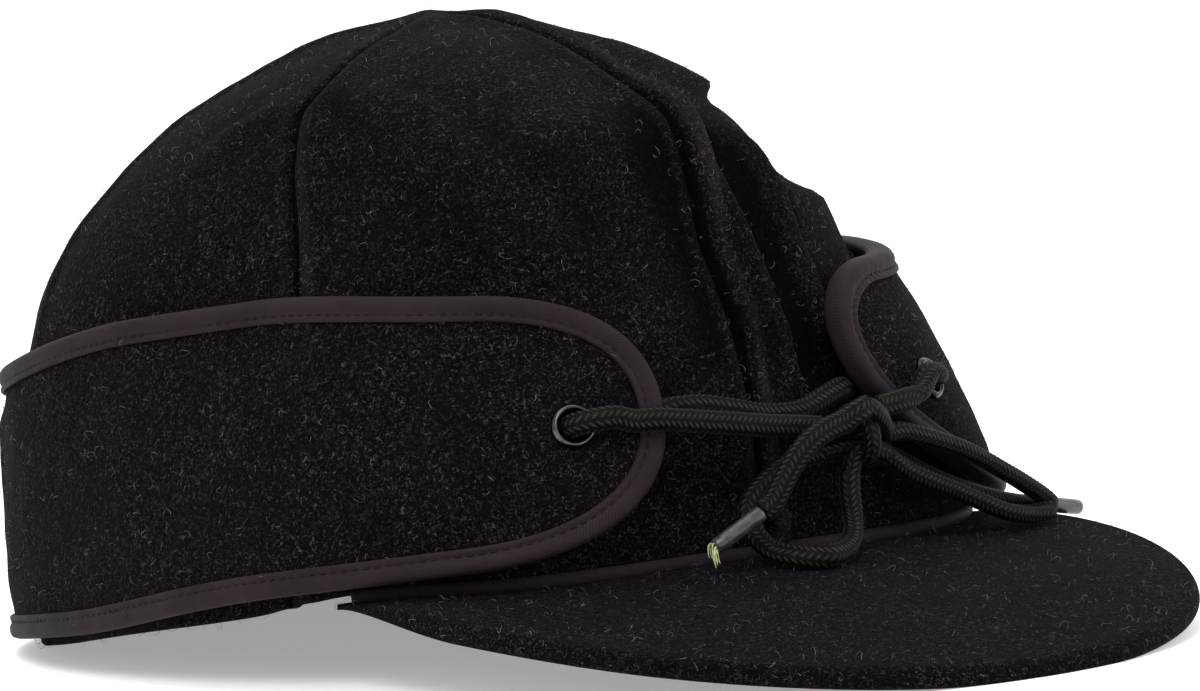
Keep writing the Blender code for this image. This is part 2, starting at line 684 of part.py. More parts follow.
def main():
    clear_scene()
    pieces = [
        make_crown(), make_visor(), make_welt(), make_band(), make_piping(),
        make_eyelet("eyelet_right", EYELET_RIGHT), make_eyelet("eyelet_left", EYELET_LEFT),
    ]
    holes = [item for item in bpy.data.objects if item.name.endswith("_hole")]
    cords = [
        make_lace("lace_across", across_route()), make_knot(),
        make_lace("bow_loop_right", LOOP_RIGHT), make_lace("bow_loop_left", LOOP_LEFT),
        make_lace("bow_tail_right", TAIL_RIGHT), make_lace("bow_tail_left", TAIL_LEFT),
        make_aglet("aglet_right", TAIL_RIGHT[-1], AGLET_RIGHT_END),
        make_aglet("aglet_left", TAIL_LEFT[-1], AGLET_LEFT_END),
    ]
    rest_on_floor(pieces, cords + holes)


main()
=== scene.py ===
"""Looks of a six-panel wool cap with a stiff visor, a piped ear band and a lace bow."""
import json
import math
import random
from collections import namedtuple

import bmesh
import bpy
import numpy as np
from bpy.props import FloatProperty, FloatVectorProperty, IntProperty, PointerProperty
from mathutils import Matrix, Vector, noise

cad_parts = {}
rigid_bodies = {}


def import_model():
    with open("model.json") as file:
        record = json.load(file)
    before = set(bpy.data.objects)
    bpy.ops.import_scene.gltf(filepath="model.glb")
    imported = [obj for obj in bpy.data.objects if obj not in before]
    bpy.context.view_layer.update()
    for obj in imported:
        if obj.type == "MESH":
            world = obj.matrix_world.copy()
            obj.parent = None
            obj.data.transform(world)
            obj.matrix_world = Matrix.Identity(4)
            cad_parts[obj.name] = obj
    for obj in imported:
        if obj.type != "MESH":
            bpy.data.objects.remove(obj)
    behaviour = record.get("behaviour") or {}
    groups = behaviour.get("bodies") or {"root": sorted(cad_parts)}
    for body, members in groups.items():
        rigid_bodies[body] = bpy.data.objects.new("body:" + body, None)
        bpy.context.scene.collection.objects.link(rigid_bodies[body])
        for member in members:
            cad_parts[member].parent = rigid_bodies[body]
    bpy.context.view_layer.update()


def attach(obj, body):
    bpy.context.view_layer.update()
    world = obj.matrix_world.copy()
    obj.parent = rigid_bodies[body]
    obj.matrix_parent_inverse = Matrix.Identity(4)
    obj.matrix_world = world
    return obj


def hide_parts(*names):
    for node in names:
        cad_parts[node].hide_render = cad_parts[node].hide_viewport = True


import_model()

bl_info = {
    "name": "Wool cap",
    "version": (1, 0, 0),
    "blender": (4, 5, 0),
    "location": "3D View > Sidebar > Wool cap",
    "description": "Builds a felted wool cap with a visor, a piped ear band and a lace bow",
    "category": "Add Mesh",
}

# How the cap rests: the part's own lean and shift from the cap's frame to the world's
LEAN = math.radians(-5.905450)
REST_AT = (0.0, 0.0395331, 0.0131079)
POSE = Matrix.Translation(REST_AT) @ Matrix.Rotation(LEAN, 4, "X")

# The part's named sizes, in metres and degrees
GAP = 0.0003
CROWN_HALF_LENGTH = 0.0967
CROWN_HALF_WIDTH = 0.0918
CROWN_SQUARENESS = 2.4
CROWN_HEIGHT = 0.1155
CROWN_WALL = 0.003
PANEL_COUNT = 6
PANEL_PUFF = 0.0016
PUFF_START = 0.45
VISOR_SPREAD = 54.0
VISOR_LENGTH = 0.080
VISOR_ROUNDNESS = 2.22
VISOR_FORWARD = 0.45
VISOR_DROP = 0.0240
VISOR_DROP_CURVE = 1.6
VISOR_THICKNESS = 0.0042
VISOR_TUCK = 0.0033
VISOR_CORNER = 0.0035
VISOR_CROWNING = 0.0012
WELT_HEIGHT = 0.0010
WELT_PROUD = 0.0014
WELT_SHORT = 2.5                # degrees between its ends and the visor's corners
WELT_PRESS = 0.0006              # how far the cloth closes on the tape, above and below
BAND_HEIGHT = 0.058
BAND_END_HEIGHT = 0.0515
BAND_BACK_HEIGHT = 0.0520
BAND_DIP = 0.0035
BAND_WALL = 0.0030
BAND_RIGHT_TIP = -14.2
BAND_LEFT_TIP = 13.2
RIGHT_TIP_HEIGHT = 0.0275
LEFT_TIP_HEIGHT = 0.0370
RIGHT_END_ABOVE = 0.034
RIGHT_END_BELOW = 0.040
LEFT_END_ABOVE = 0.020
LEFT_END_BELOW = 0.068
RIGHT_END_SQUARENESS = 2.25
LEFT_END_SQUARENESS = 1.95
BAND_MEAN_RADIUS = 0.098
BAND_DEGREE = BAND_MEAN_RADIUS * math.pi / 180.0
TAPE = 0.0006
TAPE_GAP = 0.0005
PIPING_WIDTH = 0.0050
EYELET_RIGHT = -24.8
EYELET_LEFT = 27.0
EYELET_HEIGHT = 0.0248
EYELET_BORE = 0.0031
EYELET_BARREL = 0.0034
EYELET_FLANGE = 0.0045
LACE_DIAMETER = 0.0044
LACE_HEIGHT = 0.0256
KNOT_CENTRE = (0.0171, -0.1038, 0.0168)
AGLET_LENGTH = 0.0120
AGLET_RADIUS = 0.0016

Section = namedtuple("Section", "height front left right back")
CROWN_SECTIONS = [
    Section(0.00, 0.970, 0.985, 0.985, 0.975),
    Section(0.07, 0.978, 0.965, 0.968, 0.972),
    Section(0.15, 0.982, 0.940, 0.942, 0.966),
    Section(0.24, 0.976, 0.884, 0.908, 0.958),
    Section(0.36, 0.948, 0.822, 0.858, 0.944),
    Section(0.48, 0.905, 0.785, 0.816, 0.920),
    Section(0.60, 0.858, 0.712, 0.768, 0.861),
    Section(0.72, 0.795, 0.575, 0.718, 0.750),
    Section(0.82, 0.600, 0.500, 0.625, 0.604),
    Section(0.90, 0.415, 0.325, 0.430, 0.425),
    Section(0.96, 0.180, 0.185, 0.205, 0.240),
    Section(1.00, 0.000, 0.000, 0.000, 0.000),
]
# The part's folds; the first three are drawn sharper here, from CREASES
Fold = namedtuple("Fold", "low_azimuth high_azimuth low high rise spread")
CROWN_FOLDS = [
    Fold(7.8, 4.6, 0.20, 0.76, 0.85, 3.6),
    Fold(15.2, 15.2, 0.20, 0.66, 0.80, 3.6),
    Fold(11.6, 9.6, 0.20, 0.72, -0.55, 3.4),
    Fold(22.0, 21.0, 0.77, 0.90, 0.60, 8.0),
    Fold(36.0, 32.0, 0.59, 0.77, -3.10, 12.0),
    Fold(-36.0, -42.0, 0.50, 0.92, 0.35, 8.0),
    Fold(-16.5, -17.5, 0.06, 0.32, -0.95, 11.0),
    Fold(18.5, 18.5, 0.06, 0.32, -1.30, 12.0),
]
Around = namedtuple("Around", "azimuth hem stand lean left_lean")
ALL_ROUND = [
    Around(0.0, -0.048, 0.100, 0.150, 0.150),
    Around(30.0, -0.046, 0.098, 0.200, 0.275),
    Around(52.0, -0.020, 0.076, 0.308, 0.390),
    Around(66.0, -0.056, 0.060, 0.322, 0.356),
    Around(90.0, -0.072, 0.038, 0.178, 0.200),
    Around(120.0, -0.092, 0.034, 0.100, 0.100),
    Around(150.0, -0.060, 0.028, 0.096, 0.096),
    Around(180.0, -0.030, 0.028, 0.090, 0.090),
]
BAND_BASE_FRONT = 0.985
BAND_BASE_BACK = 0.975
BAND_LEAN_CURVE = 1.4
SOFT_FOLDS = CROWN_FOLDS[3:]
SEAM_STEP = 360.0 / PANEL_COUNT

# Creases that the wool shows: azimuth by height, rise in metres, and how wide the
# slope is on the side of lower and of higher azimuths, in degrees
Crease = namedtuple("Crease", "rise before after path")
CREASES = [
    Crease(0.0034, 4.2, 1.3, ((0.16, 9.8), (0.22, 9.0), (0.30, 7.4), (0.38, 6.3), (0.44, 6.1),
                              (0.51, 5.8), (0.58, 4.9), (0.66, 4.0), (0.72, 4.2), (0.77, 5.5))),
    Crease(0.0032, 4.0, 1.4, ((0.16, 20.8), (0.25, 18.8), (0.31, 16.8), (0.38, 15.3),
                              (0.49, 14.9), (0.61, 14.8), (0.68, 14.0))),
    Crease(0.0013, 7.0, 4.0, ((0.40, -17.0), (0.51, -21.4), (0.60, -25.4), (0.68, -29.8),
                              (0.74, -34.6), (0.80, -39.2), (0.86, -50.0))),
    Crease(0.0013, 6.0, 8.0, ((0.66, -87.0), (0.72, -84.4), (0.75, -81.9), (0.80, -77.4),
                              (0.84, -68.0))),
]
# Where the front seam and the wearer's right front seam run, azimuth by height
FRONT_SEAM = ((0.0, 0.0), (0.33, 0.3), (0.50, -0.7), (0.61, 0.4), (0.70, 0.9), (0.80, 2.3),
              (0.85, 2.7), (0.91, 3.7), (1.0, 9.0))
SIDE_SEAM = ((0.0, -60.0), (0.51, -58.9), (0.63, -59.5), (0.77, -60.6), (0.82, -61.4),
             (0.85, -60.2), (0.91, -57.6), (0.95, -53.0), (1.0, -45.0))

# Sizes and tints that only the looks have
METRES_PER_DEGREE = 0.0017       # about, along the hem and the band
FLOOR_CLEARANCE = 0.00005
CROWN_ROWS = 104
INNER_ROW_STEP = 5               # the inside needs fewer rows than the outside
VALLEY_SPREAD = 2.4              # the valleys, in relief and in painted shade, are this much wider than their creases
# rises of a crease and of a seam that count as a full crest or valley in the painted highlight
# and shade
CREST_HEIGHT = 0.0022
SEAM_CREST_HEIGHT = 0.0016
# Colours painted on the wool's crests as highlight and in its valleys as shade
CREST_PAINTED_HIGHLIGHT = (0.0105, 0.0082, 0.0102)
VALLEY_PAINTED_SHADE = (0.0008, 0.0006, 0.0008)
LIP = ((0.85, 0.00018), (0.5, 0.00028), (0.15, 0.00018))   # share of the wall, and drop
SEAM_STRENGTH = 0.95
FRONT_SEAM_STRENGTH = 1.9
CORNER_SHARE = 0.22              # thickness left at the visor's corners
CORNER_TAPER = 11.0              # degrees over which it thins to that
VISOR_STEPS, VISOR_ROWS, VISOR_RIM_STEPS = 150, 46, 12
WELT_STEPS, WELT_ROUND_STEPS = 260, 8
BAND_STEPS = (300, 40)           # along the side and round each end
BAND_OUTER_ROWS, BAND_INNER_ROWS = 40, 10
PIPING_STEPS = (420, 64)
STITCH_INSET, STITCH_DEPTH = 0.0036, 0.00388   # from the band's edge and its inner face
STITCH_SHARE = 0.62              # of the pitch
STITCH_THICKNESS = 0.00034
EYELET_SIDES = 72
FAR_EYELET_LIT_SHARE = 0.20          # the wearer's left one is painted darker than the right one, as shade
BRAID_SIDES, BRAID_COLUMNS, BRAID_PITCH = 32, 8, 0.00125
BRAID_WIDTH, BRAID_FLATNESS = 1.07, 0.84
KNOT_STEP = 0.00025              # between the rings of the knot's strands
AGLET_SIDES = 40
FRAYED_THREADS, FRAYED_RADIUS = 16, 0.00016
HAIR_KINDS, HAIR_RADIUS = 6, 0.000042

# Lace through an eyelet: towards the band's tip, and outwards from its inner face
EYELET_TURN = [
    (0.0078, 0.0072), (0.0042, 0.0076), (0.0012, 0.0064), (-0.0004, 0.0039), (-0.0006, 0.0015),
    (-0.0005, -0.0009), (0.0006, -0.0033), (0.0030, -0.0044), (0.0065, -0.0044),
]
OVER_RIGHT_END = [(-18.5, 0.0250, 0.0068), (-15.2, 0.0245, 0.0070)]
OVER_LEFT_END = [(20.0, 0.0230, 0.0074), (16.5, 0.0222, 0.0075)]
FROM_KNOT_RIGHTWARDS = [
    (0.0084, -0.1036, 0.0190), (0.0044, -0.1037, 0.0196), (-0.0038, -0.1042, 0.0206),
    (-0.0123, -0.1046, 0.0219),
]
ACROSS = [
    (-0.0209, -0.0943, 0.0264), (-0.0142, -0.0960, 0.0262), (-0.0067, -0.0973, 0.0245),
    (0.0001, -0.0978, 0.0228), (0.0086, -0.0980, 0.0226), (0.0159, -0.0968, 0.0247),
    (0.0215, -0.0950, 0.0260),
]
TO_KNOT_FROM_LEFT = [(0.0240, -0.1032, 0.0214)]
LOOP_RIGHT = [
    (0.0102, -0.1008, 0.0143), (0.0078, -0.1004, 0.0142), (0.0041, -0.1002, 0.0133),
    (-0.0016, -0.0996, 0.0105), (-0.0060, -0.0988, 0.0071), (-0.0078, -0.0988, 0.0038),
    (-0.0077, -0.1003, -0.0003), (-0.0064, -0.1034, -0.0035), (-0.0040, -0.1078, -0.0051),
    (0.0010, -0.1104, -0.0057), (0.0067, -0.1084, -0.0052), (0.0114, -0.1056, -0.0031),
    (0.0137, -0.1037, 0.0008), (0.0140, -0.1035, 0.0053), (0.0142, -0.1036, 0.0080),
    (0.0146, -0.1036, 0.0094),
]
LOOP_LEFT = [
    (0.0248, -0.1034, 0.0162), (0.0290, -0.1030, 0.0162), (0.0360, -0.1022, 0.0143),
    (0.0455, -0.1004, 0.0112), (0.0530, -0.0983, 0.0081), (0.0575, -0.0974, 0.0058),
    (0.0622, -0.0960, 0.0036), (0.0668, -0.0946, 0.0013), (0.0706, -0.0935, -0.0008),
    (0.0722, -0.0934, -0.0024), (0.0700, -0.0946, -0.0037), (0.0645, -0.0960, -0.0040),
    (0.0565, -0.0981, -0.0026), (0.0490, -0.0990, 0.0005), (0.0423, -0.0998, 0.0034),
    (0.0355, -0.1012, 0.0058), (0.0290, -0.1025, 0.0086), (0.0236, -0.1040, 0.0118),
]
TAIL_RIGHT = [
    (0.0156, -0.1102, 0.0220), (0.0125, -0.1108, 0.0211), (0.0091, -0.1101, 0.0196),
    (0.0049, -0.1102, 0.0185), (0.0010, -0.1102, 0.0169), (-0.0022, -0.1097, 0.0144),
    (-0.0046, -0.1090, 0.0114), (-0.0068, -0.1083, 0.0082), (-0.0086, -0.1077, 0.0057),
    (-0.0107, -0.1072, 0.0044),
]
AGLET_RIGHT_END = (-0.0214, -0.1048, -0.0012)
TAIL_LEFT = [
    (0.0226, -0.0993, 0.0151), (0.0282, -0.0964, 0.0133), (0.0330, -0.0948, 0.0111),
    (0.0415, -0.0935, 0.0070), (0.0480, -0.0925, 0.0042), (0.0545, -0.0917, 0.0018),
    (0.0620, -0.0903, -0.0004), (0.0690, -0.0888, -0.0019), (0.0736, -0.0880, -0.0023),
]
AGLET_LEFT_END = (0.0840, -0.0866, -0.0041)

# Camera in the cap's frame, fitted to the photograph: place, and its right, up and back
CAMERA_AT = (-0.73634, -1.06716, 0.02785)
CAMERA_RIGHT = (0.805057, -0.579015, -0.128936)
CAMERA_UP = (0.098590, -0.083733, 0.991599)
CAMERA_BACK = (-0.584947, -0.811006, -0.010325)
CAMERA_LENS = 187.07


# Shape rules shared with the part's source

def through(values, position):
    """Value at a fractional index of a smooth curve through the values."""
    last = len(values) - 1
    index = min(int(max(position, 0.0)), last - 1)
    t = position - index
    a = values[index - 1] if index > 0 else 2 * values[0] - values[1]
    b, c = values[index], values[index + 1]
    d = values[index + 2] if index + 2 <= last else 2 * values[last] - values[last - 1]
    return b + 0.5 * t * (c - a + t * (2 * a - 5 * b + 4 * c - d + t * (3 * (b - c) + d - a)))


def place_in(values, wanted):
    for index in range(len(values) - 1):
        if wanted <= values[index + 1]:
            return index + (wanted - values[index]) / (values[index + 1] - values[index])
    return float(len(values) - 1)


def ease(t):
    t = np.clip(t, 0.0, 1.0)
    return t * t * (3.0 - 2.0 * t)


def wrapped(azimuth):
    return (azimuth + 180.0) % 360.0 - 180.0


def around(field, azimuth):
    rows = [getattr(row, field) for row in ALL_ROUND]
    stops = [row.azimuth for row in ALL_ROUND]
    return through(rows, place_in(stops, abs(wrapped(azimuth)))) * BAND_HEIGHT


def on_ring(azimuth, radius, z):
    angle = math.radians(azimuth)
    return Vector((radius * math.sin(angle), -radius * math.cos(angle), z))


def base_radius(azimuth):
    angle = math.radians(azimuth)
    side = abs(math.sin(angle)) / CROWN_HALF_WIDTH
    ahead = abs(math.cos(angle)) / CROWN_HALF_LENGTH
    return (side ** CROWN_SQUARENESS + ahead ** CROWN_SQUARENESS) ** (-1.0 / CROWN_SQUARENESS)


def crown_share(azimuth, position):
    """The crown's radius at a place among its sections, as a share of its base's."""
    azimuth = wrapped(azimuth)
    front, left, right, back = (
        through([getattr(row, field) for row in CROWN_SECTIONS], position)
        for field in ("front", "left", "right", "back"))
    side = left if azimuth > 0 else right
    away = abs(azimuth)
    if away < 60.0:
        return front + (side - front) * ease(away / 60.0)
    return side + (back - side) * ease((away - 60.0) / 60.0)


def crown_relief(azimuth, height, folds=CROWN_FOLDS):
    """How far puffed panels and soft folds stand out of the crown, in metres."""
    panel = math.sin(math.radians(azimuth * PANEL_COUNT / 2.0)) ** 2
    swell = ease((height - PUFF_START) / 0.15) * ease((1.0 - height) / 0.12)
    rise = PANEL_PUFF * panel * swell
    for fold in folds:
        along = (height - fold.low) / (fold.high - fold.low)
        middle = fold.low_azimuth + (fold.high_azimuth - fold.low_azimuth) * along
        off = wrapped(azimuth - middle) / fold.spread
        length = ease((along + 0.15) / 0.3) * ease((1.15 - along) / 0.3)
        rise += fold.rise * CROWN_WALL * math.exp(-off * off) * length
    return rise


def crown_radius(azimuth, z):
    height = min(max(z / CROWN_HEIGHT, 0.0), 1.0)
    position = place_in([row.height for row in CROWN_SECTIONS], height)
    return base_radius(azimuth) * crown_share(azimuth, position) + crown_relief(azimuth, height)


def band_point(azimuth, z, depth):
    """A point of the ear band, at a depth outwards from its inner face."""
    back = ease((abs(wrapped(azimuth)) - 60.0) / 60.0)
    share = BAND_BASE_FRONT + (BAND_BASE_BACK - BAND_BASE_FRONT) * back
    side = "left_lean" if wrapped(azimuth) > 0.0 else "lean"
    lean = around(side, azimuth) * max(z / BAND_HEIGHT, 0.0) ** BAND_LEAN_CURVE
    radius = base_radius(azimuth) * share + around("stand", azimuth) - lean + depth
    return on_ring(azimuth, radius, z)


def band_top(azimuth):
    away = abs(wrapped(azimuth))
    drop = (BAND_HEIGHT - BAND_END_HEIGHT) * (1.0 - ease((away - 20.0) / 45.0))
    return BAND_HEIGHT - drop - (BAND_HEIGHT - BAND_BACK_HEIGHT) * ease((away - 85.0) / 50.0)


def band_bottom(azimuth):
    """Height of the band's lower edge, which hangs a little towards the back."""
    return -BAND_DIP * ease((abs(wrapped(azimuth)) - 58.0) / 42.0)


def band_columns(inset, side_steps, end_steps):
    """Lower and upper ends of the band's columns, from its right tip round to its left.

    Each end is (azimuth, z). The left end's azimuths are counted on past -180.
    """
    columns = []

    def add(low_azimuth, high_azimuth, tip_height, share):
        low = band_bottom(low_azimuth) + inset
        high = band_top(high_azimuth) - inset
        columns.append(((low_azimuth, tip_height + (low - tip_height) * share),
                        (high_azimuth, tip_height + (high - tip_height) * share)))

    def add_end(tip, tip_height, lengths, way, squareness, steps):
        for i in steps:
            turn = math.pi / 2.0 * i / end_steps
            back = 1.0 - math.cos(turn) ** (2.0 / squareness)
            low, high = (tip + way * (inset + (length - inset) * back) / BAND_DEGREE
                         for length in lengths)
            add(low, high, tip_height, math.sin(turn) ** (2.0 / squareness))

    right, left = (RIGHT_END_BELOW, RIGHT_END_ABOVE), (LEFT_END_BELOW, LEFT_END_ABOVE)
    add_end(BAND_RIGHT_TIP, RIGHT_TIP_HEIGHT, right, -1.0, RIGHT_END_SQUARENESS,
            range(1, end_steps))
    starts = [BAND_RIGHT_TIP - length / BAND_DEGREE for length in right]
    ends = [BAND_LEFT_TIP - 360.0 + length / BAND_DEGREE for length in left]
    for i in range(side_steps + 1):
        low, high = (start + (end - start) * i / side_steps for start, end in zip(starts, ends))
        add(low, high, 0.0, 1.0)
    add_end(BAND_LEFT_TIP - 360.0, LEFT_TIP_HEIGHT, left, 1.0, LEFT_END_SQUARENESS,
            range(end_steps - 1, 0, -1))
    return columns


def band_outline(inset, side_steps, end_steps):
    """The band's edge as (azimuth, z) places, at an inset from its outline."""
    columns = band_columns(inset, side_steps, end_steps)
    tips = [(BAND_LEFT_TIP - 360.0 + inset / BAND_DEGREE, LEFT_TIP_HEIGHT),
            (BAND_RIGHT_TIP - inset / BAND_DEGREE, RIGHT_TIP_HEIGHT)]
    lower = [low for low, high in columns]
    upper = [high for low, high in reversed(columns)]
    return lower + tips[:1] + upper + tips[1:]


def band_frame(azimuth):
    here = band_point(azimuth, EYELET_HEIGHT, 0.0)
    along = band_point(azimuth + 1.0, EYELET_HEIGHT, 0.0) - here
    up = band_point(azimuth, EYELET_HEIGHT + 0.001, 0.0) - here
    normal = along.cross(up).normalized()
    side = along.normalized()
    turned = Matrix((side, normal.cross(side), normal)).transposed().to_4x4()
    return Matrix.Translation(here) @ turned


def hem_height(azimuth):
    return around("hem", azimuth)


def visor_reach(azimuth):
    return max(0.0, 1.0 - abs(azimuth / VISOR_SPREAD) ** VISOR_ROUNDNESS)


def visor_direction(azimuth):
    step = 0.5
    here = on_ring(azimuth - step, base_radius(azimuth - step), 0.0)
    there = on_ring(azimuth + step, base_radius(azimuth + step), 0.0)
    along = (there - here).normalized()
    outwards = Vector((along.y, -along.x, 0.0))
    return (outwards * (1.0 - VISOR_FORWARD) + Vector((0.0, -VISOR_FORWARD, 0.0))).normalized()


def visor_top(azimuth, out):
    """A point of the visor's upper face, at a distance out from the crown."""
    reach = VISOR_LENGTH * visor_reach(azimuth) + VISOR_CORNER
    base = on_ring(azimuth, base_radius(azimuth) * CROWN_SECTIONS[0].front, 0.0)
    point = base + visor_direction(azimuth) * out
    share = max(out, 0.0) / reach
    point.z = hem_height(azimuth) - WELT_HEIGHT - 2.0 * GAP
    point.z -= VISOR_DROP * share * visor_reach(azimuth) ** VISOR_DROP_CURVE
    point.z += VISOR_CROWNING * 4.0 * share * (1.0 - share) * visor_reach(azimuth)
    return point


def lace_turn(azimuth, side):
    turned = band_frame(azimuth)
    return [turned @ Vector((side * along, 0.0, depth)) for along, depth in EYELET_TURN]


def behind_band(azimuth):
    wall = crown_radius(azimuth, LACE_HEIGHT)
    face = band_point(azimuth, LACE_HEIGHT, -TAPE_GAP - TAPE)
    return on_ring(azimuth, (wall + math.hypot(face.x, face.y)) / 2.0, LACE_HEIGHT)


def across_route():
    right = [band_point(*place) for place in reversed(OVER_RIGHT_END)]
    left = [band_point(*place) for place in OVER_LEFT_END]
    route = [Vector(point) for point in FROM_KNOT_RIGHTWARDS] + right
    route += lace_turn(EYELET_RIGHT, 1.0) + [behind_band(-19.5), behind_band(-15.6)]
    route += [Vector(point) for point in ACROSS] + [behind_band(15.6), behind_band(19.5)]
    route += list(reversed(lace_turn(EYELET_LEFT, -1.0)))
    return route + left + [Vector(point) for point in TO_KNOT_FROM_LEFT]


# Mesh helpers

def grain(point, size, seed=0.0):
    """Smooth noise from -1 to 1 with features of about the given size."""
    return noise.noise(Vector(point) / size + Vector((seed, seed * 1.7, seed * 2.3)))


def ring_faces(rows, columns):
    """Quads between closed rings of points, one ring to a row."""
    faces = []
    for i in range(rows - 1):
        for j in range(columns):
            k = (j + 1) % columns
            faces.append((i * columns + j, i * columns + k,
                          (i + 1) * columns + k, (i + 1) * columns + j))
    return faces


def skin(rings, ends):
    """Points and faces over closed rings, with their ends "joined", "flat" or "fanned"."""
    count = len(rings[0])
    points = [point for ring in rings for point in ring]
    faces = ring_faces(len(rings), count)
    last = len(points) - count
    if ends == "joined":
        faces += [(last + j, last + (j + 1) % count, (j + 1) % count, j) for j in range(count)]
    elif ends == "flat":
        faces += [tuple(range(count)), tuple(range(last, len(points)))]
    else:
        for start, ring in ((0, rings[0]), (last, rings[-1])):
            middle = len(points)
            points.append(sum(ring, Vector()) / count)
            faces += [(start + j, start + (j + 1) % count, middle) for j in range(count)]
    return points, faces


def keep_on_floor(point):
    """Flatten what would go through the surface that the cap rests on."""
    placed = POSE @ Vector(point)
    if placed.z < FLOOR_CLEARANCE:
        placed.z = FLOOR_CLEARANCE
        return POSE.inverted() @ placed
    return Vector(point)


def in_scene(name, data):
    """A new object of a mesh, a light or a camera, linked into the scene."""
    made = bpy.data.objects.new(name, data)
    bpy.context.scene.collection.objects.link(made)
    return made


def make_object(name, points, faces, material, uv=None, values=None):
    """A smooth mesh object from points in the cap's frame."""
    mesh = bpy.data.meshes.new(name)
    placed = [tuple(POSE @ Vector(point)) for point in points]
    mesh.from_pydata(placed, [], faces)
    if uv is not None:
        layer = mesh.uv_layers.new(name="UVMap")
        corners = np.zeros(len(mesh.loops), np.int32)
        mesh.loops.foreach_get("vertex_index", corners)
        layer.data.foreach_set("uv", np.asarray(uv, np.float32)[corners].ravel())
    for key, entries in (values or {}).items():
        attribute = mesh.attributes.new(key, "FLOAT", "POINT")
        attribute.data.foreach_set("value", np.asarray(entries, np.float32))
    mesh.materials.append(material)
    made = in_scene(name, mesh)
    work = bmesh.new()
    work.from_mesh(mesh)
    bmesh.ops.recalc_face_normals(work, faces=work.faces)
    work.to_mesh(mesh)
    work.free()
    mesh.shade_smooth()
    return made


def settle(made, slot, *nodes):
    """Let a finished piece ride on the cap's body and stand for its solids."""
    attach(made, "root")
    if nodes:
        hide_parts(*nodes)
    return made


def lengths_along(path):
    """Length of a path up to each of its points."""
    return np.r_[0.0, np.cumsum(np.linalg.norm(np.diff(path, axis=0), axis=1))]


def fine_route(route, step):
    """Points at even steps along a smooth curve through the route, as an array."""
    route = [Vector(point) for point in route]
    dense = []
    for i in range(len(route) - 1):
        for k in range(24):
            dense.append([through([point[axis] for point in route], i + k / 24.0)
                          for axis in range(3)])
    dense = np.array(dense + [list(route[-1])])
    lengths = lengths_along(dense)
    count = max(2, int(round(lengths[-1] / step)) + 1)
    wanted = np.linspace(0.0, lengths[-1], count)
    return np.column_stack([np.interp(wanted, lengths, dense[:, axis]) for axis in range(3)])


# Node helpers

class Wire:
    """What comes out of a node, which takes Python arithmetic where it is a number."""

    def __init__(self, wiring, socket):
        self.wiring = wiring
        self.socket = socket

    def maths(self, operation, *values):
        return self.wiring.node("ShaderNodeMath", {"operation": operation},
                                dict(enumerate(values)))

    def beside(self, name):
        """Another output of the same node."""
        return Wire(self.wiring, self.socket.node.outputs[name])

    def __add__(self, other):
        return self.maths("ADD", self, other)

    def __radd__(self, other):
        return self.maths("ADD", other, self)

    def __sub__(self, other):
        return self.maths("SUBTRACT", self, other)

    def __rsub__(self, other):
        return self.maths("SUBTRACT", other, self)

    def __mul__(self, other):
        return self.maths("MULTIPLY", self, other)

    def __rmul__(self, other):
        return self.maths("MULTIPLY", other, self)

    def __abs__(self):
        return self.maths("ABSOLUTE", self)

    def band(self, low, high):
        """0 below low, 1 above high and smooth between them; also falling if low > high."""
        if low > high:
            return 1.0 - self.band(high, low)
        return self.wiring.node("ShaderNodeMapRange", {"interpolation_type": "SMOOTHSTEP"},
                                {"Value": self, "From Min": low, "From Max": high})


def socket_name(key):
    return key.replace("_", " ").title().replace("Ior", "IOR")


class Wiring:
    """A node tree whose nodes come from one method."""

    def __init__(self, tree):
        self.tree = tree

    def node(self, kind, settings=None, inputs=None, output=0):
        made = self.tree.nodes.new(kind)
        for key, value in (settings or {}).items():
            setattr(made, key, value)
        for key, value in (inputs or {}).items():
            self.join(made.inputs[key], value)
        return Wire(self, made.outputs[output])

    def join(self, socket, value):
        if isinstance(value, Wire):
            self.tree.links.new(value.socket, socket)
        elif socket.type == "RGBA":
            socket.default_value = (*value, 1.0)
        else:
            socket.default_value = value


class Shader(Wiring):
    """A material around one Principled surface."""

    def __init__(self, name, **constants):
        self.material = bpy.data.materials.new(name)
        self.material.use_nodes = True
        super().__init__(self.material.node_tree)
        self.surface = self.tree.nodes["Principled BSDF"]
        self.finish(**constants)

    def coordinates(self, output="Object"):
        return self.node("ShaderNodeTexCoord", output=output)

    def noise(self, where, scale, detail=2.0, roughness=0.5, distortion=0.0):
        return self.node("ShaderNodeTexNoise", None, {
            "Vector": where, "Scale": scale, "Detail": detail, "Roughness": roughness,
            "Distortion": distortion})

    def shifted(self, where, shift):
        return self.node("ShaderNodeMapping", None, {"Vector": where, "Location": shift})

    def mix(self, factor, first, second):
        return self.node("ShaderNodeMix", {"data_type": "RGBA"},
                         {0: factor, 6: first, 7: second}, output=2)

    def bump(self, height, strength, distance):
        return self.node("ShaderNodeBump", None, {
            "Height": height, "Strength": strength, "Distance": distance})

    def finish(self, **values):
        """Set or link the shader's own sockets, and give the material."""
        for key, value in values.items():
            self.join(self.surface.inputs[socket_name(key)], value)
        return self.material


